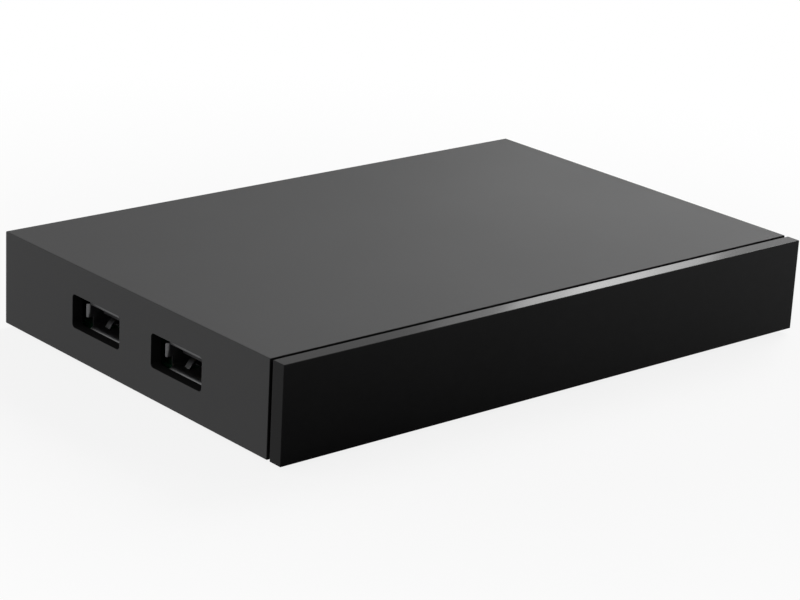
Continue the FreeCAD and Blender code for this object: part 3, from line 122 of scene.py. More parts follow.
def sharpEdge(angle):
    return lambda edge: len(edge.link_faces) == 2 and edge.calc_face_angle() > math.radians(angle)


def applyModifiers(piece):
    pick(piece)
    for modifier in list(piece.modifiers):
        bpy.ops.object.modifier_apply(modifier=modifier.name)


def thicken(piece, thickness):
    # gives a surface its sheet's thickness, half to each side
    sheet = piece.modifiers.new("Solidify", 'SOLIDIFY')
    sheet.thickness = thickness
    sheet.offset = 0
    applyModifiers(piece)


def carve(piece, cutters):
    for cutter in cutters:
        modifier = piece.modifiers.new("Boolean", 'BOOLEAN')
        modifier.operation = 'DIFFERENCE'
        modifier.object = cutter
        modifier.solver = 'EXACT'
        applyModifiers(piece)
        bpy.data.objects.remove(cutter)


def joinPieces(name, pieces):
    deselectAll()
    for piece in pieces:
        piece.select_set(True)
    bpy.context.view_layer.objects.active = pieces[0]
    bpy.ops.object.join()
    joined = bpy.context.object
    joined.name = name
    return joined


def smoothPiece(piece):
    pick(piece)
    bpy.ops.object.shade_smooth_by_angle(angle=math.radians(smoothAngle))
    weighted = piece.modifiers.new("WeightedNormal", 'WEIGHTED_NORMAL')
    weighted.keep_sharp = True
    applyModifiers(piece)


def softenEdges(piece, width, segments=2, angle=smoothAngle):
    # a small rounding on every edge sharper than the angle
    bevel = piece.modifiers.new("Bevel", 'BEVEL')
    bevel.width = width
    bevel.segments = segments
    bevel.limit_method = 'ANGLE'
    bevel.angle_limit = math.radians(angle)
    bevel.use_clamp_overlap = True
    applyModifiers(piece)
    smoothPiece(piece)


def copyNode(name, pieceName):
    # a merged copy of a CAD node, ready to be worked on
    piece = bpy.data.objects.new(pieceName, frame["nodes"][name].data.copy())
    bpy.context.scene.collection.objects.link(piece)
    pick(piece)
    bpy.ops.mesh.customdata_custom_splitnormals_clear()
    bpy.ops.object.mode_set(mode='EDIT')
    bpy.ops.mesh.select_all(action='SELECT')
    bpy.ops.mesh.remove_doubles(threshold=0.001 * mm)
    bpy.ops.mesh.dissolve_limited(angle_limit=math.radians(1))
    bpy.ops.object.mode_set(mode='OBJECT')
    return piece


def bentStrip(name, start, across, halfWidth, moves, thickness, tipWidth=0.7):
    # a strip of sheet that begins as one edge and is drawn out move by move;
    # its last edge keeps tipWidth of the width
    deselectAll()
    bpy.ops.mesh.primitive_plane_add(size=1, location=(0, 0, 0))
    strip = bpy.context.object
    strip.name = name
    pickParts(strip, 'VERT', lambda vertex: vertex.co.x > 0)
    bpy.ops.mesh.delete(type='VERT')
    mesh = bmesh.from_edit_mesh(strip.data)
    for vertex, sign in zip(mesh.verts, (-1, 1)):
        vertex.co = start + across * halfWidth * sign
    bpy.ops.mesh.select_mode(type='EDGE')
    bpy.ops.mesh.select_all(action='SELECT')
    for move in moves:
        bpy.ops.mesh.extrude_region_move(TRANSFORM_OT_translate={"value": move})
    tip = [1 + (tipWidth - 1) * abs(number) for number in across]
    bpy.ops.transform.resize(value=tip)
    bpy.ops.object.mode_set(mode='OBJECT')
    thicken(strip, thickness)
    return strip


def seat(piece, material, body, *nodes, slot=None):
    # gives the piece its finish and its body, and hides the CAD nodes that it stands for; the slot is not
    # set
    piece.data.materials.clear()
    piece.data.materials.append(finishes[material])
    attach(piece, body)
    slot or material
    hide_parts(*nodes)


# Nodes for the finishes and the stage

def setInput(tree, socket, value):
    # a number or colour is set on the socket, and another node's output is linked to it
    if isinstance(value, bpy.types.NodeSocket):
        tree.links.new(value, socket)
    else:
        socket.default_value = value


def objectPlace(tree):
    return tree.nodes.new('ShaderNodeTexCoord').outputs['Object']


def noiseNode(tree, place, scale, detail):
    node = tree.nodes.new('ShaderNodeTexNoise')
    for label, value in (("Vector", place), ("Scale", scale), ("Detail", detail)):
        setInput(tree, node.inputs[label], value)
    return node.outputs['Fac']


def mathNode(tree, operation, first, second):
    node = tree.nodes.new('ShaderNodeMath')
    node.operation = operation
    setInput(tree, node.inputs[0], first)
    setInput(tree, node.inputs[1], second)
    return node.outputs[0]


def rangeNode(tree, value, fromRange, toRange=(0, 1)):
    node = tree.nodes.new('ShaderNodeMapRange')
    labels = ("Value", "From Min", "From Max", "To Min", "To Max")
    for label, number in zip(labels, (value, *fromRange, *toRange)):
        setInput(tree, node.inputs[label], number)
    return node.outputs['Result']


def mixColours(tree, share, first, second):
    node = tree.nodes.new('ShaderNodeMix')
    node.data_type = 'RGBA'
    for number, value in ((0, share), (6, first), (7, second)):
        setInput(tree, node.inputs[number], value)
    return node.outputs[2]


def addBump(tree, shader, height, strength, distance):
    bump = tree.nodes.new('ShaderNodeBump')
    bump.inputs['Strength'].default_value = strength
    bump.inputs['Distance'].default_value = distance
    tree.links.new(height, bump.inputs['Height'])
    tree.links.new(bump.outputs['Normal'], shader.inputs['Normal'])


# Shader node groups that several finishes share

def newGroup(name, inputs):
    tree = bpy.data.node_groups.new(name, 'ShaderNodeTree')
    for label, kind, value in inputs:
        socket = tree.interface.new_socket(name=label, in_out='INPUT', socket_type=kind)
        socket.default_value = value
    for label, kind in (("Colour", 'NodeSocketColor'), ("Roughness", 'NodeSocketFloat'),
                        ("Height", 'NodeSocketFloat')):
        tree.interface.new_socket(name=label, in_out='OUTPUT', socket_type=kind)
    return tree, tree.nodes.new('NodeGroupInput')


def endGroup(tree, start, toneShare, roughShare, height):
    # one pattern blends the colour into the tint, one sets the roughness and one is the relief
    end = tree.nodes.new('NodeGroupOutput')
    colour = mixColours(tree, toneShare, start.outputs['Colour'], start.outputs['Tint'])
    ends = (start.outputs['Roughness Low'], start.outputs['Roughness High'])
    roughness = rangeNode(tree, roughShare, (0.3, 0.7), ends)
    for label, value in (("Colour", colour), ("Roughness", roughness), ("Height", height)):
        tree.links.new(value, end.inputs[label])


def mouldedGroup():
    # uneven tone, roughness and a fine pebble for moulded surfaces
    tree, start = newGroup("Moulded surface", [
        ("Colour", 'NodeSocketColor', (0.05, 0.05, 0.05, 1)),
        ("Tint", 'NodeSocketColor', (0.1, 0.1, 0.1, 1)),
        ("Grain Scale", 'NodeSocketFloat', 2000),
        ("Cloud Scale", 'NodeSocketFloat', 30),
        ("Roughness Low", 'NodeSocketFloat', 0.4),
        ("Roughness High", 'NodeSocketFloat', 0.5)])
    place = objectPlace(tree)
    grain = noiseNode(tree, place, start.outputs['Grain Scale'], 3)
    cloud = noiseNode(tree, place, start.outputs['Cloud Scale'], 4)
    tone = rangeNode(tree, mathNode(tree, 'MULTIPLY', grain, cloud), (0.1, 0.4))
    endGroup(tree, start, tone, cloud, grain)
    return tree


def drawnGroup():
    # long fine lines from rolling or drawing, along X, Y or Z by the Stretch
    tree, start = newGroup("Drawn metal", [
        ("Colour", 'NodeSocketColor', (0.6, 0.6, 0.6, 1)),
        ("Tint", 'NodeSocketColor', (0.4, 0.4, 0.4, 1)),
        ("Stretch", 'NodeSocketVector', (200, 4000, 4000)),
        ("Roughness Low", 'NodeSocketFloat', 0.2),
        ("Roughness High", 'NodeSocketFloat', 0.4)])
    stretch = tree.nodes.new('ShaderNodeVectorMath')
    stretch.operation = 'MULTIPLY'
    tree.links.new(objectPlace(tree), stretch.inputs[0])
    tree.links.new(start.outputs['Stretch'], stretch.inputs[1])
    lines = noiseNode(tree, stretch.outputs[0], 1, 4)
    endGroup(tree, start, lines, lines, lines)
    return tree


mouldedSurface = mouldedGroup()
drawnMetal = drawnGroup()


# Finishes

pebbleDepth = 0.02 * mm
lineDepth = 0.01 * mm


def newMaterial(name):
    material = bpy.data.materials.new(name)
    material.use_nodes = True
    return material, material.node_tree, material.node_tree.nodes['Principled BSDF']


def surfaceFinish(name, group, look, depth, **extras):
    # a material whose colour, roughness and relief come from one of the groups
    material, tree, shader = newMaterial(name)
    surface = tree.nodes.new('ShaderNodeGroup')
    surface.node_tree = group
    values = {"Colour": (*look["colour"], 1), "Tint": (*look["tint"], 1),
              "Roughness Low": look["roughness"][0], "Roughness High": look["roughness"][1]}
    for label, value in (values | extras).items():
        surface.inputs[label].default_value = value
    tree.links.new(surface.outputs['Colour'], shader.inputs['Base Color'])
    tree.links.new(surface.outputs['Roughness'], shader.inputs['Roughness'])
    if look["bump"]:
        addBump(tree, shader, surface.outputs['Height'], look["bump"], depth)
    return material, shader


def plasticFinish(name, look):
    scales = {"Grain Scale": look["grain"], "Cloud Scale": look["cloud"]}
    material, shader = surfaceFinish(name, mouldedSurface, look, pebbleDepth, **scales)
    shader.inputs['Specular IOR Level'].default_value = look.get("specular", 0.5)
    shader.inputs['Transmission Weight'].default_value = look.get("transmission", 0)
    return material


def metalFinish(name, look):
    material, shader = surfaceFinish(name, drawnMetal, look, lineDepth, Stretch=look["stretch"])
    shader.inputs['Metallic'].default_value = 1
    return material


# grain and cloud are the scales of the fine and the broad pattern, and roughness runs from low to high
plastics = {
    "case_black": {"colour": (0.0140, 0.0140, 0.0144), "tint": (0.0162, 0.0162, 0.0166), "grain": 2600,
                   "cloud": 14, "roughness": (0.58, 0.63), "bump": 0.35, "specular": 0.27},
    "panel_gloss": {"colour": (0.0098, 0.0098, 0.0100), "tint": (0.0112, 0.0112, 0.0115), "grain": 400,
                    "cloud": 20, "roughness": (0.13, 0.15), "bump": 0, "specular": 0.064},
    "carrier_black": {"colour": (0.003, 0.003, 0.003), "tint": (0.0045, 0.0045, 0.0045), "grain": 2200,
                      "cloud": 60, "roughness": (0.6, 0.75), "bump": 0.3, "specular": 0.06},
    "clear_plastic": {"colour": (0.9, 0.92, 0.94), "tint": (0.8, 0.84, 0.88), "grain": 500,
                      "cloud": 90, "roughness": (0.05, 0.12), "bump": 0, "transmission": 0.9},
    "foot_rubber": {"colour": (0.018, 0.018, 0.019), "tint": (0.030, 0.030, 0.031), "grain": 3200,
                    "cloud": 120, "roughness": (0.7, 0.85), "bump": 0.6},
    "chip_black": {"colour": (0.022, 0.022, 0.024), "tint": (0.036, 0.036, 0.038), "grain": 4200,
                   "cloud": 200, "roughness": (0.42, 0.55), "bump": 0.4},
    "pad_grey": {"colour": (0.26, 0.30, 0.36), "tint": (0.34, 0.38, 0.44), "grain": 1800,
                 "cloud": 150, "roughness": (0.6, 0.75), "bump": 0.5},
    "pin_white": {"colour": (0.66, 0.64, 0.58), "tint": (0.74, 0.72, 0.66), "grain": 900,
                  "cloud": 120, "roughness": (0.35, 0.45), "bump": 0.2},
    "ferrite_grey": {"colour": (0.055, 0.055, 0.06), "tint": (0.11, 0.11, 0.115), "grain": 3600,
                     "cloud": 300, "roughness": (0.5, 0.75), "bump": 0.8},
    "moulded_black": {"colour": (0.010, 0.010, 0.011), "tint": (0.018, 0.018, 0.019), "grain": 2600,
                      "cloud": 160, "roughness": (0.32, 0.48), "bump": 0.3},
    "receiver_dark": {"colour": (0.016, 0.006, 0.010), "tint": (0.024, 0.010, 0.014), "grain": 700,
                      "cloud": 120, "roughness": (0.08, 0.14), "bump": 0.05},
}
# the lines run along the axis where stretch is small
metals = {
    "screw_steel": {"colour": (0.16, 0.16, 0.165), "tint": (0.07, 0.07, 0.072), "bump": 0.4,
                    "stretch": (2600, 2600, 900), "roughness": (0.28, 0.42)},
    "sink_aluminium": {"colour": (0.66, 0.66, 0.68), "tint": (0.48, 0.48, 0.50), "bump": 0.5,
                       "stretch": (3200, 120, 3200), "roughness": (0.3, 0.48)},
    "capacitor_aluminium": {"colour": (0.64, 0.65, 0.68), "tint": (0.54, 0.55, 0.58), "bump": 0.3,
                            "stretch": (2600, 2600, 160), "roughness": (0.24, 0.36)},
    "can_steel": {"colour": (0.62, 0.62, 0.64), "tint": (0.48, 0.48, 0.50), "bump": 0.4,
                  "stretch": (180, 3000, 3000), "roughness": (0.26, 0.42)},
    "contact_gold": {"colour": (0.83, 0.62, 0.26), "tint": (0.66, 0.46, 0.17), "bump": 0.2,
                     "stretch": (300, 2600, 2600), "roughness": (0.18, 0.3)},
    # socket_steel is a darkened copy of plated_steel: painted shade for the side sockets deep in their
    # cut-outs
    "socket_steel": {"colour": (0.125, 0.125, 0.128), "tint": (0.090, 0.090, 0.093), "bump": 0.4,
                     "stretch": (160, 3600, 3600), "roughness": (0.30, 0.40)},
    "plated_steel": {"colour": (0.42, 0.42, 0.43), "tint": (0.30, 0.30, 0.31), "bump": 0.4,
                     "stretch": (160, 3600, 3600), "roughness": (0.28, 0.40)},
}
board = {"mask": (0.002, 0.018, 0.008), "track": (0.004, 0.036, 0.015), "trackPitch": 520, "scatter": 0.55,
         "trackEdge": (0.30, 0.34), "roughness": (0.28, 0.42), "bump": 0.5, "depth": 0.03 * mm}


def boardFinish(name):
    # solder mask over copper: straight tracks as a faint relief and lighter green
    material, tree, shader = newMaterial(name)
    cells = tree.nodes.new('ShaderNodeTexVoronoi')
    cells.distance = 'CHEBYCHEV'
    cells.feature = 'F1'
    cells.inputs['Scale'].default_value = board["trackPitch"]
    cells.inputs['Randomness'].default_value = board["scatter"]
    tree.links.new(objectPlace(tree), cells.inputs['Vector'])
    tracks = rangeNode(tree, cells.outputs['Distance'], board["trackEdge"])
    colour = mixColours(tree, tracks, (*board["mask"], 1), (*board["track"], 1))
    roughness = rangeNode(tree, tracks, (0, 1), board["roughness"])
    tree.links.new(colour, shader.inputs['Base Color'])
    tree.links.new(roughness, shader.inputs['Roughness'])
    addBump(tree, shader, tracks, board["bump"], board["depth"])
    return material


finishes = {name: plasticFinish(name, look) for name, look in plastics.items()}
finishes.update({name: metalFinish(name, look) for name, look in metals.items()})
finishes["board_green"] = boardFinish("board_green")
print("finishes ready:", len(finishes))

# CAD nodes that stay take their slot's finish
slotOf = {part["node"]: part["material_slot"] for part in frame["record"]["subparts"]}
for nodeName, node in frame["nodes"].items():
    node.data.materials.clear()
    node.data.materials.append(finishes[slotOf[nodeName]])
print("CAD nodes finished")


# Connectors at the back, whose sizes the housing's openings share

videoSocket = {"height": 5.2 * mm, "sheet": 0.3 * mm, "chamfer": 2.0 * mm, "corner": 0.35 * mm,
               "lip": 0.3 * mm, "flare": 1.03, "springOffset": 3.4 * mm, "springWidth": 1.8 * mm,
               "springStart": 2.2 * mm, "springRun": 4.2 * mm, "springPlay": 0.2 * mm,
               "springLap": 0.05 * mm, "legs": (1.6 * mm, 5.6 * mm), "legLength": 1.6 * mm,
               "edge": 0.04 * mm}
networkFlange = 1.6 * mm
collar = {"radius": 3.1 * mm, "bore": 1.8 * mm, "chamfer": 0.15 * mm}
powerNose = {"radius": 4.1 * mm}
resetKey = {"radius": 1.7 * mm, "rim": 0.25 * mm, "dish": 0.25 * mm, "dishStep": 0.18,
            "dishShares": (0.5, 0.3, 0.2), "faceDepth": 0.05 * mm, "edge": 0.08 * mm}


def portBox(name):
    # the box of a socket's mouth, without its legs or tabs
    low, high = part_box(name)
    if name == "network_socket_shield":
        low.x, high.x = low.x + networkFlange, high.x - networkFlange
    if name == "video_socket_shell":
        low.z = high.z - videoSocket["height"]
    return low, high


def sideSocketMiddle(place):
    low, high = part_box(place + "_socket_shell")
    tongueLow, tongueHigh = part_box(place + "_socket_tongue")
    return Vector((low.x, (low.y + high.y) / 2, (tongueLow.z + tongueHigh.z) / 2))


# Housing

housing = {"edgeRadius": 0.2 * mm, "wall": 2.4 * mm, "top": 2.2 * mm, "frontWall": 2.0 * mm,
           "rearWall": 2.2 * mm, "cutoutRadius": 0.8 * mm, "cutoutWidth": 16.4 * mm,
           "cutoutHeight": 7.0 * mm, "cutoutRise": 1.0 * mm, "rim": 0.12 * mm,
           "portPlay": 0.25 * mm, "portReach": 4 * mm}
housingLow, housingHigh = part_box("upper_housing")
# each opening's corner radius and its segments, and the radius of a round one
squareOpenings = {"network_socket_shield": (0.4 * mm, 4), "optical_socket": (0.3 * mm, 4),
                  "video_socket_shell": (0.4 * mm, 3)}
roundOpenings = {"audio_jack_collar": collar["radius"], "power_jack_pin": powerNose["radius"],
                 "reset_button": resetKey["radius"]}


def sideCutter(place):
    # the rounded opening in the left wall before a side socket
    middle = sideSocketMiddle(place)
    up = middle.z + housing["cutoutRise"]
    halfWidth, halfHeight = housing["cutoutWidth"] / 2, housing["cutoutHeight"] / 2
    cutter = newCube(place + "Cutout",
                     (housingLow.x - overshoot, middle.y - halfWidth, up - halfHeight),
                     (housingLow.x + overshoot, middle.y + halfWidth, up + halfHeight))
    bevelEdges(cutter, housing["cutoutRadius"], 6, edgeAlong('X'))
    return cutter


def rearCutters():
    # the openings of the connector row, each a little wider than its socket
    play = Vector((housing["portPlay"], 0, housing["portPlay"]))
    reach = Vector((0, housing["portReach"], 0))
    alongDepth = edgeAlong('Y')
    cutters = []
    for name, (corner, segments) in squareOpenings.items():
        low, high = portBox(name)
        low.y = high.y = housingHigh.y
        cutter = newCube(name + "Cutout", low - play - reach, high + play + reach)
        if name == "video_socket_shell":
            bevelEdges(cutter, videoSocket["chamfer"], 1,
                       lambda edge: alongDepth(edge) and edge.verts[0].co.z < low.z)
        bevelEdges(cutter, corner, segments, alongDepth)
        cutters.append(cutter)
    for name, radius in roundOpenings.items():
        low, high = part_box(name)
        middle = ((low.x + high.x) / 2, housingHigh.y, (low.z + high.z) / 2)
        cutters.append(newCylinder(name + "Cutout", middle, 'Y', radius + housing["portPlay"],
                                   housing["portReach"] * 2))
    return cutters


def onOuterFace(edge):
    # an opening's sharp edge in the outside of the left or the rear wall
    walls = ((0, housingLow.x), (1, housingHigh.y))
    return sharpEdge(60)(edge) and any(
        all(abs(vertex.co[axis] - place) < mm / 1000 for vertex in edge.verts) for axis, place in walls)


def inCutout(face, middle):
    # a face in the walls of the cut-out with this middle
    across = abs(face.center.y - middle.y)
    up = abs(face.center.z - middle.z - housing["cutoutRise"])
    return (across < housing["cutoutWidth"] / 2 + housing["rim"]
            and up < housing["cutoutHeight"] / 2 + housing["rim"])


def paintRevealShade(shell):
    # painted shade: the walls of the two cut-outs and the end behind the panel, all the same moulded plastic
    # as the outside, take the darker, duller carrier finish to stand in for the shade in these recesses
    shell.data.materials.append(finishes["carrier_black"])
    middles = [sideSocketMiddle(place) for place in ("rear", "front")]
    for face in shell.data.polygons:
        behindPanel = face.normal.y < -0.5 and face.center.y < housingLow.y + housing["edgeRadius"]
        inLeftWall = abs(face.normal.x) < 0.5 and face.center.x < housingLow.x + housing["wall"]
        if behindPanel or (inLeftWall and any(inCutout(face, middle) for middle in middles)):
            face.material_index = 1


def makeHousing():
    shell = newCube("housing", housingLow, housingHigh)
    bevelEdges(shell, housing["edgeRadius"], 4, lambda edge: True)
    inside = newCube("housingInside",
                     (housingLow.x + housing["wall"], housingLow.y + housing["frontWall"],
                      housingLow.z - overshoot),
                     (housingHigh.x - housing["wall"], housingHigh.y - housing["rearWall"],
                      housingHigh.z - housing["top"]))
    carve(shell, [inside, sideCutter("rear"), sideCutter("front"), *rearCutters()])
    bevelEdges(shell, housing["rim"], 2, onOuterFace)
    smoothPiece(shell)
    seat(shell, "case_black", caseBody, "upper_housing")
    # painted shade on the cut-out walls and on the end behind the panel
    paintRevealShade(shell)


makeHousing()
print("housing done")


# Front panel

panel = {"edgeRadius": 0.15 * mm, "face": 1.8 * mm, "rim": 1.8 * mm}


def makePanel():
    # a shallow tray, open towards the carrier
    low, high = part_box("front_panel")
    shell = newCube("frontPanel", low, high)
    bevelEdges(shell, panel["edgeRadius"], 5, lambda edge: True)
    tray = newCube("panelTray", (low.x + panel["rim"], low.y + panel["face"], low.z + panel["rim"]),
                   (high.x - panel["rim"], high.y + overshoot, high.z - panel["rim"]))
    carve(shell, [tray])
    smoothPiece(shell)
    seat(shell, "panel_gloss", caseBody, "front_panel")


makePanel()
print("front panel done")


# Side sockets

socket = {"sheet": 0.3 * mm, "corner": 0.5 * mm, "halfWidth": 6.4 * mm, "halfHeight": 2.47 * mm,
          "flapRoot": 1.3 * mm, "flapSlit": 1.0 * mm, "flapTip": 0.88, "sideFlapRise": 0.9 * mm,
          "sideFlapTrim": 0.05 * mm, "fingerOffset": 3.4 * mm, "fingerWidth": 1.55 * mm,
          "fingerStart": 1.25 * mm, "fingerRun": 2.8 * mm, "fingerLap": 0.1 * mm,
          "windowPlay": 0.25 * mm, "legLength": 1.6 * mm, "legShoulder": 1 * mm, "edge": 0.04 * mm,
          "tongueEdge": 0.12 * mm, "contactEdge": 0.04 * mm}
# the floor's flap has a low swage before its wide bend, and the roof's turns late and sharply
floorBend = {"run": 0.06 * mm, "swage": (0.24 * mm, 0.25 * mm), "radius": 1.15 * mm, "angle": 54,
             "length": 0.09 * mm}
sideBend = {"run": 0.46 * mm, "swage": None, "radius": 0.8 * mm, "angle": 44, "length": 0.38 * mm}
roofBend = {"run": 0.86 * mm, "swage": None, "radius": 0.35 * mm, "angle": 82, "length": 0.42 * mm}
# how far each piece of a spring finger runs and rises, in millimetres
floorFinger = ((0.2, 0), (0.2, 0.15), (0.3, 0.41), (0.4, 0.52), (0.5, 0.45), (0.5, 0.24),
               (0.4, 0.02), (0.3, -0.12))
roofFinger = ((0.4, 0), (0.5, 0.1), (0.6, 0.16), (0.6, 0.12), (0.4, 0), (0.3, -0.06))


def flareMoves(side, bend):
    # the sheet turns outwards on a radius and then runs straight to the tip
    steps = 6
    turn = math.radians(bend["angle"])
    moves = [Vector((-bend["run"], 0, 0))]
    if bend["swage"]:
        forward, inward = bend["swage"]
        moves += [Vector((-forward / 2, 0, 0)) - side * inward / 2] * 2
    for step in range(steps):
        first, last = turn * step / steps, turn * (step + 1) / steps
        forward = bend["radius"] * (math.sin(last) - math.sin(first))
        outward = bend["radius"] * (math.cos(first) - math.cos(last))
        moves.append(Vector((-forward, 0, 0)) + side * outward)
    for share in (0.75, 0.25):  # the last quarter narrows to the tip
        length = bend["length"] * share
        moves.append(Vector((-length * math.cos(turn), 0, 0)) + side * length * math.sin(turn))
    return moves


def sideTube(name, middle, rootX, endX):
    halfY, halfZ = socket["halfWidth"], socket["halfHeight"]
    tube = newCube(name, (rootX, middle.y - halfY, middle.z - halfZ),
                   (endX, middle.y + halfY, middle.z + halfZ))
    bevelEdges(tube, socket["corner"], 4, edgeAlong('X'))
    pickFaces(tube, lambda face: abs(face.normal.x) > 0.9)
    bpy.ops.mesh.delete(type='FACE')
    bpy.ops.object.mode_set(mode='OBJECT')
    thicken(tube, socket["sheet"])
    return tube


def sideFlaps(middle, rootX):
    # four flared flaps round the mouth, with slits between them
    halfY, halfZ = socket["halfWidth"], socket["halfHeight"]
    flaps = []
    for side in (Vector((0, 1, 0)), Vector((0, -1, 0)), Vector((0, 0, 1)), Vector((0, 0, -1))):
        across = Vector((0, abs(side.z), abs(side.y)))
        start = Vector((rootX, middle.y, middle.z)) + side * (halfY if side.y else halfZ)
        start.z += socket["sideFlapRise"] * abs(side.y)
        half = (halfZ - socket["sideFlapTrim"] if side.y else halfY) - socket["flapSlit"]
        bend = sideBend if side.y else roofBend if side.z > 0 else floorBend
        flaps.append(bentStrip("flap", start, across, half, flareMoves(side, bend), socket["sheet"],
                               socket["flapTip"]))
    return flaps


def sideFingers(middle, rootX):
    # sprung fingers, and the windows in the floor and the roof that they stand in
    sheet, play, half = socket["sheet"], socket["windowPlay"], socket["fingerWidth"] / 2
    start = rootX + socket["fingerStart"]
    fingers, windows = [], []
    for sign in (-1, 1):
        y = middle.y + sign * socket["fingerOffset"]
        for up, profile in ((1, floorFinger), (-1, roofFinger)):
            level = middle.z - up * socket["halfHeight"]
            windows.append(newCube("window", (start, y - half - play, level - 2 * sheet),
                                   (start + socket["fingerRun"] + play, y + half + play, level + 2 * sheet)))
            moves = [Vector((run * mm, 0, up * rise * mm)) for run, rise in profile]
            fingers.append(bentStrip("finger", Vector((start - socket["fingerLap"], y, level)),
                                     Vector((0, 1, 0)), half, moves, sheet))
    return fingers, windows


def sideLegs(middle, rootX, endX, lowZ):
    # four legs down to the board
    thick = socket["sheet"] / 2
    legs = []
    for start in (endX - 2 * socket["legLength"], rootX + socket["legLength"]):
        for side in (-1, 1):
            y = middle.y + side * socket["halfWidth"]
            legs.append(newCube("leg", (start, y - thick, lowZ),
                                (start + socket["legLength"], y + thick, middle.z - socket["legShoulder"])))
    return legs


def makeSideShell(place):
    middle = sideSocketMiddle(place)
    low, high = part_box(place + "_socket_shell")
    rootX = low.x + socket["flapRoot"]
    tube = sideTube(place + "SocketShell", middle, rootX, high.x)
    flaps = sideFlaps(middle, rootX)
    fingers, windows = sideFingers(middle, rootX)
    carve(tube, windows)
    legs = sideLegs(middle, rootX, high.x, low.z)
    shell = joinPieces(place + "SocketShell", [tube, *flaps, *fingers, *legs])
    softenEdges(shell, socket["edge"], 2, bendAngle)
    # the darkened socket steel paints the shade inside the cut-out
    seat(shell, "socket_steel", caseBody, place + "_socket_shell")


def makeSideInsert(place):
    # the moulded tongue and its four gold strips
    tongue = copyNode(place + "_socket_tongue", place + "SocketTongue")
    softenEdges(tongue, socket["tongueEdge"])
    seat(tongue, "moulded_black", caseBody, place + "_socket_tongue")
    contacts = copyNode(place + "_socket_contacts", place + "SocketContacts")
    softenEdges(contacts, socket["contactEdge"])
    seat(contacts, "contact_gold", caseBody, place + "_socket_contacts")


for place in ("rear", "front"):
    makeSideShell(place)
    makeSideInsert(place)
print("side sockets done")


# Connector row at the back

# the share of its run that each piece of a spring takes, and its rise in millimetres
springShape = ((0.3, 0.06), (0.3, 0.16), (0.25, 0.12), (0.1, -0.06))


def videoTube(low, high):
    # drawn tube with slanted lower corners and a thin flared lip
    look = videoSocket
    alongDepth = edgeAlong('Y')
    inset = Vector((look["sheet"] / 2, 0, look["sheet"] / 2))
    tube = newCube("videoSocketShell", low + inset, high - inset)
    bevelEdges(tube, look["chamfer"], 1,
               lambda edge: alongDepth(edge) and edge.verts[0].co.z < low.z + look["sheet"])
    bevelEdges(tube, look["corner"], 3, alongDepth)
    # the rim is folded back by the lip and drawn forward again wider, and the end is then opened
    pickFaces(tube, lambda face: face.normal.y > 0.9)
    bpy.ops.mesh.extrude_region_move(TRANSFORM_OT_translate={"value": (0, -look["lip"], 0)})
    bpy.ops.mesh.extrude_region_move(TRANSFORM_OT_translate={"value": (0, look["lip"], 0)})
    bpy.ops.transform.resize(value=(look["flare"], 1, look["flare"]))
    bpy.ops.mesh.delete(type='FACE')
    bpy.ops.object.mode_set(mode='OBJECT')
    thicken(tube, look["sheet"])
    return tube


def videoSprings(low, high):
    # two sprung tongues in the roof and two in the floor, with the windows that they stand in
    look = videoSocket
    half, play, run = look["springWidth"] / 2, look["springPlay"], look["springRun"]
    start = high.y - look["springStart"]
    springs, windows = [], []
    for sign in (-1, 1):
        x = (low.x + high.x) / 2 + sign * look["springOffset"]
        for level, inward in ((high.z - look["sheet"] / 2, -1), (low.z + look["sheet"] / 2, 1)):
            windows.append(newCube("window", (x - half - play, start - run - play, level - look["sheet"]),
                                   (x + half + play, start, level + look["sheet"])))
            moves = [Vector((0, -run * share, inward * rise * mm)) for share, rise in springShape]
            springs.append(bentStrip("spring", Vector((x, start + look["springLap"], level)),
                                     Vector((1, 0, 0)), half, moves, look["sheet"]))
    return springs, windows


def videoLegs(low, high, lowZ):
    look = videoSocket
    thick = look["sheet"] / 2
    legs = []
    for start in look["legs"]:
        for x in (low.x + thick, high.x - thick):
            y = low.y + start
            legs.append(newCube("leg", (x - thick, y, lowZ),
                                (x + thick, y + look["legLength"], (low.z + high.z) / 2)))
    return legs


def makeVideoShell():
    low, high = portBox("video_socket_shell")
    tube = videoTube(low, high)
    springs, windows = videoSprings(low, high)
    carve(tube, windows)
    legs = videoLegs(low, high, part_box("video_socket_shell")[0].z)
    shell = joinPieces("videoSocketShell", [tube, *springs, *legs])
    softenEdges(shell, videoSocket["edge"], 2, bendAngle)
    seat(shell, "plated_steel", caseBody, "video_socket_shell", slot="socket_steel")


def makeCollar():
    # turned ring with a chamfered bore and two rounded rims
    low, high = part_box("audio_jack_collar")
    middle, length = (low + high) / 2, high.y - low.y
    ring = newCylinder("audioJackCollar", middle, 'Y', collar["radius"], length, sides=96)
    carve(ring, [newCylinder("bore", middle, 'Y', collar["bore"], length + 2 * overshoot)])
    bevelEdges(ring, collar["chamfer"], 3, sharpEdge(60))
    smoothPiece(ring)
    seat(ring, "plated_steel", caseBody, "audio_jack_collar", slot="socket_steel")


def makeResetKey():
    # the pressed face is dished for a pen tip
    key = copyNode("reset_button", "resetKey")
    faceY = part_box("reset_button")[1].y - resetKey["faceDepth"]
    pickFaces(key, lambda face: face.normal.y > 0.99 and face.calc_center_median().y > faceY)
    bpy.ops.mesh.inset(thickness=resetKey["rim"])
    for share in resetKey["dishShares"]:
        bpy.ops.mesh.inset(thickness=resetKey["radius"] * resetKey["dishStep"])
        bpy.ops.transform.translate(value=(0, -resetKey["dish"] * share, 0))
    bpy.ops.object.mode_set(mode='OBJECT')
    softenEdges(key, resetKey["edge"], 3, bendAngle)
    seat(key, "moulded_black", keyBody, "reset_button")


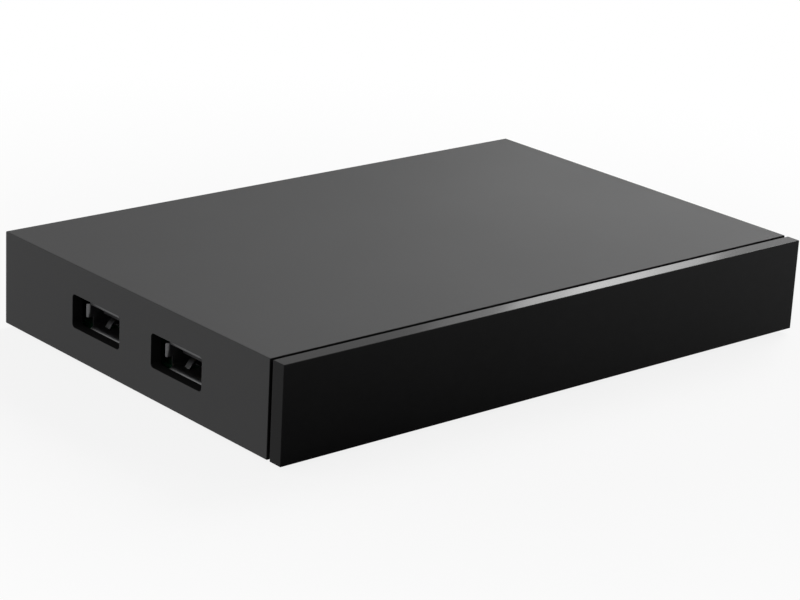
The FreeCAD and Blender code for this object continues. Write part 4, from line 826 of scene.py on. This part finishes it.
# the rest keeps its CAD form, with softened edges of this radius in millimetres and smooth rounds
rowPieces = {"network_socket_shield": 0.10, "network_socket_body": 0.12, "network_socket_contacts": 0.05,
             "video_socket_tongue": 0.06, "optical_socket": 0.15, "audio_jack_body": 0.12,
             "power_jack_body": 0.15, "power_jack_pin": 0.08, "optical_shutter": 0.10,
             "base_cover": 0.12, "panel_carrier": 0.10}


def camelName(node):
    first, *rest = node.split("_")
    return first + "".join(word.capitalize() for word in rest)


def makeRowPiece(node, edge):
    piece = copyNode(node, camelName(node))
    softenEdges(piece, edge * mm)
    slot = slotOf[node]
    # the side sockets take a darkened copy of this steel as painted shade inside their cut-outs; this row
    # keeps the plain, brighter steel
    finish = "plated_steel" if slot == "socket_steel" else slot
    body = shutterBody if node == "optical_shutter" else caseBody
    seat(piece, finish, body, node, slot=slot)


makeVideoShell()
makeCollar()
makeResetKey()
for node, edge in rowPieces.items():
    makeRowPiece(node, edge)
print("connector row, base cover and panel carrier done")


# Rubber feet

foot = {"edge": 0.1 * mm, "land": 1.1 * mm, "groove": 0.7 * mm, "grooveDepth": 0.25 * mm}


def footRadius():
    # half the width of the CAD feet at the left
    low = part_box("rubber_feet")[0]
    points = [vertex.co for vertex in frame["nodes"]["rubber_feet"].data.vertices if vertex.co.x < 0]
    return (max(point.x for point in points) - low.x) / 2


def makeFoot(x, y, radius, low, high):
    # a moulded disc with a ring groove in its sole
    disc = newCylinder("foot", (x, y, (low.z + high.z) / 2), 'Z', radius, high.z - low.z, sides=72)
    pickFaces(disc, lambda face: face.normal.z < -0.99)
    bpy.ops.mesh.inset(thickness=foot["land"])
    bpy.ops.mesh.inset(thickness=foot["groove"])
    bpy.ops.object.mode_set(mode='OBJECT')
    sole = Vector((x, y, low.z))
    ring = radius - foot["land"] - foot["groove"] / 2

    def inGroove(face):
        away = (face.calc_center_median() - sole).length
        return face.normal.z < -0.99 and len(face.verts) == 4 and abs(away - ring) < foot["groove"] / 4

    pickFaces(disc, inGroove)
    bpy.ops.mesh.extrude_region_move(TRANSFORM_OT_translate={"value": (0, 0, foot["grooveDepth"])})
    bpy.ops.object.mode_set(mode='OBJECT')
    return disc


def makeFeet():
    low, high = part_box("rubber_feet")
    radius = footRadius()
    feet = [makeFoot(x, y, radius, low, high) for x in (low.x + radius, high.x - radius)
            for y in (low.y + radius, high.y - radius)]
    joined = joinPieces("rubberFeet", feet)
    softenEdges(joined, foot["edge"], 3, bendAngle)
    seat(joined, "foot_rubber", caseBody, "rubber_feet")


makeFeet()
print("feet done")


# Stage, lamps and camera

# nearShare and nearGloss are how white the floor shows close to the part, to the eye and in reflections
stage = {"floorColour": (0.92, 0.92, 0.92), "floorRoughness": 0.9, "floorSize": 6, "drop": 0.05 * mm,
         "nearShare": 0.86, "nearGloss": 0.85, "fadeStart": 0.09, "fadeEnd": 0.22, "worldFill": 0.2}
# the card's glow, a painted reflection of shade, turns from dark to white between start and end, in metres
# from its darkest point
card = {"low": (-0.24, -0.21), "high": (0.14, -0.047), "darkest": (-0.06, -0.03, 0),
        "start": 0.02, "end": 0.18, "dark": 0.04}


def seenBy(tree, *kinds):
    # one where any of these kinds of ray arrives, otherwise nought
    path = tree.nodes.new('ShaderNodeLightPath')
    total = path.outputs[kinds[0]]
    for kind in kinds[1:]:
        total = mathNode(tree, 'MAXIMUM', total, path.outputs[kind])
    return total


def seenWhole(tree):
    return seenBy(tree, 'Is Camera Ray', 'Is Glossy Ray', 'Is Transmission Ray')


def distanceFrom(tree, point):
    node = tree.nodes.new('ShaderNodeVectorMath')
    node.operation = 'DISTANCE'
    tree.links.new(objectPlace(tree), node.inputs[0])
    node.inputs[1].default_value = point
    return node.outputs['Value']


def mixShaders(tree, share, first, second):
    node = tree.nodes.new('ShaderNodeMixShader')
    for number, output in enumerate((share, first, second)):
        tree.links.new(output, node.inputs[number])
    return node.outputs['Shader']


def newPlane(name, middle, size):
    deselectAll()
    bpy.ops.mesh.primitive_plane_add(size=1, location=middle)
    plane = bpy.context.object
    plane.name = name
    plane.scale = (*size, 1)
    bpy.ops.object.transform_apply(location=True, rotation=True, scale=True)
    return plane


def makeFloor():
    # the floor shows white away from the part and keeps its shadow close by
    floor = newPlane("floor", (0, 0, -stage["drop"]), [stage["floorSize"]] * 2)
    material, tree, shader = newMaterial("paleFloor")
    shader.inputs['Base Color'].default_value = (*stage["floorColour"], 1)
    shader.inputs['Roughness'].default_value = stage["floorRoughness"]
    shader.inputs['Specular IOR Level'].default_value = 0
    glow = tree.nodes.new('ShaderNodeEmission')
    near = rangeNode(tree, seenBy(tree, 'Is Camera Ray'), (0, 1), (stage["nearGloss"], stage["nearShare"]))
    away = distanceFrom(tree, (0, 0, 0))
    share = rangeNode(tree, away, (stage["fadeStart"], stage["fadeEnd"]), (near, 1))
    lit = mixShaders(tree, mathNode(tree, 'MULTIPLY', seenWhole(tree), share),
                     shader.outputs['BSDF'], glow.outputs['Emission'])
    # from below the floor is clear, so that the base can be looked at
    clear = tree.nodes.new('ShaderNodeBsdfTransparent')
    underside = tree.nodes.new('ShaderNodeNewGeometry').outputs['Backfacing']
    under = mathNode(tree, 'MULTIPLY', underside, seenBy(tree, 'Is Camera Ray'))
    surface = mixShaders(tree, under, lit, clear.outputs['BSDF'])
    tree.links.new(surface, tree.nodes['Material Output'].inputs['Surface'])
    floor.data.materials.append(material)


def makeReflectionShadeCard():
    # painted reflection: a glowing card on the floor before the panel, which only reflections see, paints
    # shade into the panel's mirror image of the floor
    middle = [(a + b) / 2 for a, b in zip(card["low"], card["high"])]
    size = [b - a for a, b in zip(card["low"], card["high"])]
    plane = newPlane("card", (*middle, 0), size)
    plane.visible_camera = False
    plane.visible_diffuse = False
    plane.visible_shadow = False
    plane.visible_transmission = False
    material, tree, shader = newMaterial("card")
    away = distanceFrom(tree, card["darkest"])
    level = rangeNode(tree, away, (card["start"], card["end"]), (card["dark"], 1))
    glow = tree.nodes.new('ShaderNodeEmission')
    tree.links.new(level, glow.inputs['Strength'])
    tree.links.new(glow.outputs['Emission'], tree.nodes['Material Output'].inputs['Surface'])
    plane.data.materials.append(material)


def makeWorld():
    # white to the eye and in reflections, and only a faint fill on the part
    world = bpy.data.worlds.new("studio")
    bpy.context.scene.world = world
    world.use_nodes = True
    tree = world.node_tree
    background = tree.nodes['Background']
    background.inputs['Color'].default_value = (1, 1, 1, 1)
    level = rangeNode(tree, seenWhole(tree), (0, 1), (stage["worldFill"], 1))
    tree.links.new(level, background.inputs['Strength'])


# square lamps that look at the origin, with their side in metres and their power in watts
lamps = {
    "backLeft": {"place": (-0.85, 0.55, 0.5), "size": 0.8, "power": 2.2},
    "leftLow": {"place": (-0.8, 0.0, 0.12), "size": 0.2, "power": 1.7},
    "right": {"place": (0.7, 0.2, 0.5), "size": 0.4, "power": 4.7},
    "frontFill": {"place": (0.6, -0.7, 0.5), "size": 0.6, "power": 0.5},
    "edgeCore": {"place": (0.425, 0.347, 0.22), "size": 0.035, "power": 0.025},
    "edgeGlow": {"place": (0.425, 0.347, 0.22), "size": 0.085, "power": 0.076},
    "edgeHalo": {"place": (0.43, 0.34, 0.22), "size": 0.17, "power": 0.076},
}


def makeLamp(name, look):
    data = bpy.data.lights.new(name, 'AREA')
    data.shape = 'SQUARE'
    data.size = look["size"]
    data.energy = look["power"]
    lamp = bpy.data.objects.new(name, data)
    bpy.context.scene.collection.objects.link(lamp)
    lamp.location = look["place"]
    lamp.rotation_euler = (-lamp.location).to_track_quat('-Z', 'Y').to_euler()
    lamp.visible_camera = False


# fitted to the edges of the box in the photo: the camera's place, its three axes and its lens
photoView = {"place": (-344.8 * mm, -388.54 * mm, 185.64 * mm), "right": (0.76022, -0.64773, 0.05014),
             "up": (0.17547, 0.27903, 0.94412), "back": (-0.62552, -0.70894, 0.32578),
             "lens": 116.78, "sensor": 36, "nearest": 10 * mm}


def makeCamera():
    data = bpy.data.cameras.new("camera")
    data.sensor_width = photoView["sensor"]
    data.lens = photoView["lens"]
    data.clip_start = photoView["nearest"]
    camera = bpy.data.objects.new("camera", data)
    bpy.context.scene.collection.objects.link(camera)
    turn = Matrix((photoView["right"], photoView["up"], photoView["back"])).transposed().to_4x4()
    camera.matrix_world = Matrix.Translation(photoView["place"]) @ turn
    bpy.context.scene.camera = camera


makeFloor()
# painted reflection of shade in the gloss panel
makeReflectionShadeCard()
makeWorld()
for name, look in lamps.items():
    makeLamp(name, look)
makeCamera()
bpy.context.scene.view_settings.view_transform = 'Standard'
print("stage, lamps and camera done")
